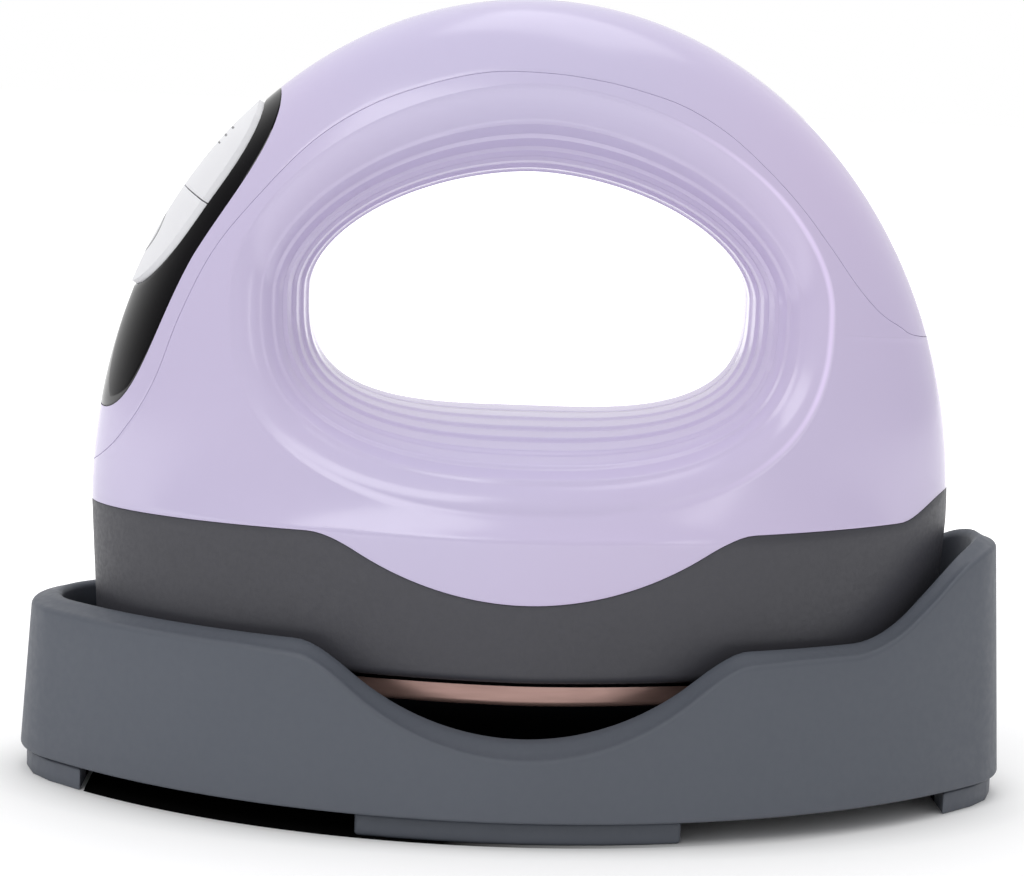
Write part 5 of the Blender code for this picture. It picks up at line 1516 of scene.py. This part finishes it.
class HEATPRESS_OT_shell_screws(bpy.types.Operator):
    """Build the three screws in the back shell, with crossed recesses in their heads"""
    bl_idname = "heatpress.shell_screws"
    bl_label = "Shell screws"

    def execute(self, context):
        for number, (x, level) in enumerate(SCREW_PLACES, 1):
            node = f"shell_screw_{number}"
            seat = Vector((x, SCREW_SHOULDER + SCREW_CLEARANCE, level))
            head = SCREW_HEAD_RADIUS
            top = -SCREW_HEAD_HEIGHT
            profile = [(top, 0), (top, head * 0.6), (-0.0012, head * 0.82), (-0.0007, head * 0.96), (0, head),
                       (0, SCREW_SHANK_RADIUS), (0.008, SCREW_SHANK_RADIUS), (0.009, 0.0008), (0.009, 0)]
            piece = to_object("steel_" + node, lathe(profile, seat, (0, -1, 0), SMALL_ROUND_STEPS))
            for wide, high in ((SLOT_LENGTH, SLOT_WIDTH), (SLOT_WIDTH, SLOT_LENGTH)):
                slot = bmesh.new()
                bmesh.ops.create_cube(slot, size=1)
                bmesh.ops.scale(slot, verts=slot.verts, vec=(wide, SLOT_DEPTH, high))
                bmesh.ops.translate(slot, verts=slot.verts, vec=seat - Vector((0, top, 0)))
                cut(piece, to_object("slot", slot))
            finish_piece(piece, "press", "steel", node)
        return {"FINISHED"}


class HEATPRESS_OT_feet(bpy.types.Operator):
    """Build the stand's four feet with rounded edges"""
    bl_idname = "heatpress.feet"
    bl_label = "Feet"

    def execute(self, context):
        for place in ("front", "back", "left", "right"):
            node = "stand_foot_" + place
            shape = bmesh.new()
            shape.from_mesh(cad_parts[node].data)
            bmesh.ops.remove_doubles(shape, verts=shape.verts, dist=MERGE_DISTANCE)
            bmesh.ops.dissolve_limit(shape, angle_limit=radians(1), verts=shape.verts, edges=shape.edges)
            bmesh.ops.recalc_face_normals(shape, faces=shape.faces)
            if place in ("left", "right"):
                self.widen(shape)
            edges = [edge for edge in shape.edges if edge.calc_face_angle(0) > radians(30)]
            round_edges(shape, edges, FOOT_EDGE, 3)
            piece = to_object("moulded_foot_" + place, shape)
            finish_piece(piece, "stand", "stand", node)
        return {"FINISHED"}

    def widen(self, shape):
        """Bring an end foot out nearly flush with the stand's wall, its inner side left in place."""
        side = 1 if sum(vert.co.x for vert in shape.verts) > 0 else -1
        inner = side * min(abs(vert.co.x) for vert in shape.verts)
        outer = side * max(abs(vert.co.x) for vert in shape.verts)
        growth = 1 + FOOT_REACH / abs(outer - inner)
        for vert in shape.verts:
            vert.co.x = inner + (vert.co.x - inner) * growth
            vert.co.y *= growth


class HEATPRESS_OT_inner_parts(bpy.types.Operator):
    """Give every node that still shows its own finish"""
    bl_idname = "heatpress.inner_parts"
    bl_label = "Inner parts"

    def execute(self, context):
        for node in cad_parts.values():
            if node.hide_render:
                continue
            for slot in node.material_slots:
                slot.link = "OBJECT"
                slot.material = make_finish(slot.name or "black")
        return {"FINISHED"}


class HEATPRESS_OT_stage(bpy.types.Operator):
    """Build the floor, the world, the lamps and the camera"""
    bl_idname = "heatpress.stage"
    bl_label = "Stage"

    def execute(self, context):
        stage = context.scene.press_stage
        self.make_floor(stage)
        self.make_world(stage)
        for name, power, place, size, lights_all in LAMPS:
            self.make_lamp(name, place, size, getattr(stage, power)).visible_diffuse = lights_all
        self.make_camera()
        context.scene.view_settings.view_transform = "Standard"
        return {"FINISHED"}

    def make_floor(self, stage):
        """Pale floor with a painted shadow, nearly black, under the left half of the stand; it glows a little
        away from the stand.
        """
        shape = bmesh.new()
        bmesh.ops.create_circle(shape, cap_ends=True, segments=96, radius=FLOOR_RADIUS)
        floor = to_object("studio_floor", shape)
        material = bpy.data.materials.new("Studio floor")
        material.use_nodes = True
        nodes = Nodes(material.node_tree)
        place = nodes.place()
        x, y, _ = nodes.split(place)
        patches = nodes.spread(nodes.noise(place, 3.0, 2.0), 0, 1)
        tint = nodes.mix(patches, stage.floor, shade(stage.floor, 0.99))
        # Painted shadow: the floor is made nearly black under the left half of the stand, and has no glow
        # there
        left = nodes.product(nodes.ramp(x, *SHADED_SPAN), nodes.math("GREATER_THAN", x, SHADED_END))
        shaded = nodes.product(leaf_mask(nodes, x, y, SHADED_INSET), left)
        nodes.give("Base Color", nodes.mix(shaded, tint, SHADED_COLOUR))
        nodes.give("Roughness", 0.8)
        nodes.give("Specular IOR Level", 0.0)
        rays = nodes.add("LightPath", {}).outputs
        seen = nodes.math("MAXIMUM", rays["Is Camera Ray"], rays["Is Glossy Ray"])
        away = nodes.vector_math("LENGTH", "Value", nodes.place(scale=GLOW_SCALE))
        glow = nodes.add("ValToRGB", {"Fac": nodes.product(away, 0.1)})
        stops = glow.color_ramp.elements
        for distance, strength in FLOOR_GLOW:
            stops.new(distance).color = (strength, strength, strength, 1)
        stops.remove(stops[0])
        stops.remove(stops[-1])
        nodes.give("Emission Color", (1, 1, 1))
        nodes.give("Emission Strength", nodes.product(seen, nodes.invert(shaded), glow.outputs["Color"]))
        floor.data.materials.append(material)

    def make_world(self, stage):
        """Even light, brighter from the backdrop. Gloss sees the backdrop and a dim room in front."""
        world = bpy.data.worlds.new("Studio")
        world.use_nodes = True
        world.node_tree.nodes.clear()
        nodes = Nodes(world.node_tree)
        rays = nodes.add("LightPath", {}).outputs
        white = nodes.math("MAXIMUM", rays["Is Camera Ray"], rays["Is Transmission Ray"])
        _, back, _ = nodes.split(nodes.add("TexCoord", {}).outputs["Generated"])
        plain = self.sweep(nodes, back, PLAIN_SPAN, (stage.ambient, stage.backdrop))
        gloss = self.sweep(nodes, back, GLOSS_SPAN, (stage.room, 1.0))
        backdrop = nodes.add("Background", {"Color": (1, 1, 1)}).outputs["Background"]
        glossy = nodes.add("MixShader", {"Fac": rays["Is Glossy Ray"], 1: plain, 2: gloss})
        final = nodes.add("MixShader", {"Fac": white, 1: glossy.outputs["Shader"], 2: backdrop})
        nodes.add("OutputWorld", {"Surface": final.outputs["Shader"]})
        bpy.context.scene.world = world

    def sweep(self, nodes, direction, span, strengths):
        """A white background whose strength changes across a span of directions."""
        names = ("Value", "From Min", "From Max", "To Min", "To Max")
        inputs = dict(zip(names, (direction, *span, *strengths)))
        strength = nodes.add("MapRange", inputs, interpolation_type="SMOOTHSTEP").outputs["Result"]
        return nodes.add("Background", {"Color": (1, 1, 1), "Strength": strength}).outputs["Background"]

    def make_lamp(self, name, place, size, power):
        lamp = bpy.data.lights.new(name, "AREA")
        lamp.shape = "RECTANGLE"
        lamp.size, lamp.size_y = size
        lamp.energy = power
        holder = bpy.data.objects.new(name, lamp)
        holder.location = place
        holder.rotation_euler = (Vector(LAMP_TARGET) - Vector(place)).to_track_quat("-Z", "Y").to_euler()
        bpy.context.scene.collection.objects.link(holder)
        return holder

    def make_camera(self):
        camera = bpy.data.cameras.new("photo_camera")
        camera.sensor_width = SENSOR_WIDTH
        camera.lens = CAMERA_FOCAL_PIXELS * SENSOR_WIDTH / IMAGE_WIDTH
        camera.shift_x = -CAMERA_SHIFT_PIXELS[0] / IMAGE_WIDTH
        camera.shift_y = -CAMERA_SHIFT_PIXELS[1] / IMAGE_WIDTH
        camera.clip_start = 0.01
        camera.clip_end = 20
        holder = bpy.data.objects.new("photo_camera", camera)
        turn = Matrix.Rotation(CAMERA_TURN, 3, "Z")
        right = turn @ Vector((1, 0, 0))
        forward = turn @ Vector((0, cos(CAMERA_TILT), -sin(CAMERA_TILT)))
        up = turn @ Vector((0, sin(CAMERA_TILT), cos(CAMERA_TILT)))
        axes = Matrix((right, up, -forward)).transposed()
        axes = Matrix.Rotation(-CAMERA_ROLL, 3, forward) @ axes
        holder.matrix_world = Matrix.Translation(CAMERA_PLACE) @ axes.to_4x4()
        bpy.context.scene.collection.objects.link(holder)
        bpy.context.scene.camera = holder


OPERATORS = (
    HEATPRESS_OT_shells,
    HEATPRESS_OT_top_cover,
    HEATPRESS_OT_panel,
    HEATPRESS_OT_keys,
    HEATPRESS_OT_skirt,
    HEATPRESS_OT_heat_plate,
    HEATPRESS_OT_stand,
    HEATPRESS_OT_rest_pads,
    HEATPRESS_OT_feet,
    HEATPRESS_OT_cord_gland,
    HEATPRESS_OT_shell_screws,
    HEATPRESS_OT_inner_parts,
    HEATPRESS_OT_stage,
)


class HEATPRESS_PT_pieces(bpy.types.Panel):
    """Pieces of the heat press"""
    bl_idname = "HEATPRESS_PT_pieces"
    bl_label = "Heat press"
    bl_space_type = "VIEW_3D"
    bl_region_type = "UI"
    bl_category = "Heat press"

    def draw(self, context):
        for group in (context.scene.press_sizes, context.scene.stand_sizes, context.scene.press_colours,
                      context.scene.press_stage):
            box = self.layout.box()
            for name in group.__annotations__:
                box.prop(group, name)
        for operator in OPERATORS:
            self.layout.operator(operator.bl_idname)


GROUPS = (
    (PressSizes, "press_sizes"),
    (StandSizes, "stand_sizes"),
    (PressColours, "press_colours"),
    (StageSettings, "press_stage"),
)


def register():
    for group, name in GROUPS:
        bpy.utils.register_class(group)
        setattr(bpy.types.Scene, name, PointerProperty(type=group))
    for operator in OPERATORS:
        bpy.utils.register_class(operator)
    bpy.utils.register_class(HEATPRESS_PT_pieces)


def unregister():
    bpy.utils.unregister_class(HEATPRESS_PT_pieces)
    for operator in reversed(OPERATORS):
        bpy.utils.unregister_class(operator)
    for group, name in reversed(GROUPS):
        delattr(bpy.types.Scene, name)
        bpy.utils.unregister_class(group)


def main():
    register()
    for operator in OPERATORS:
        make_pieces = getattr(bpy.ops.heatpress, operator.bl_idname.split(".")[1])
        make_pieces()


if __name__ == "__main__":
    main()
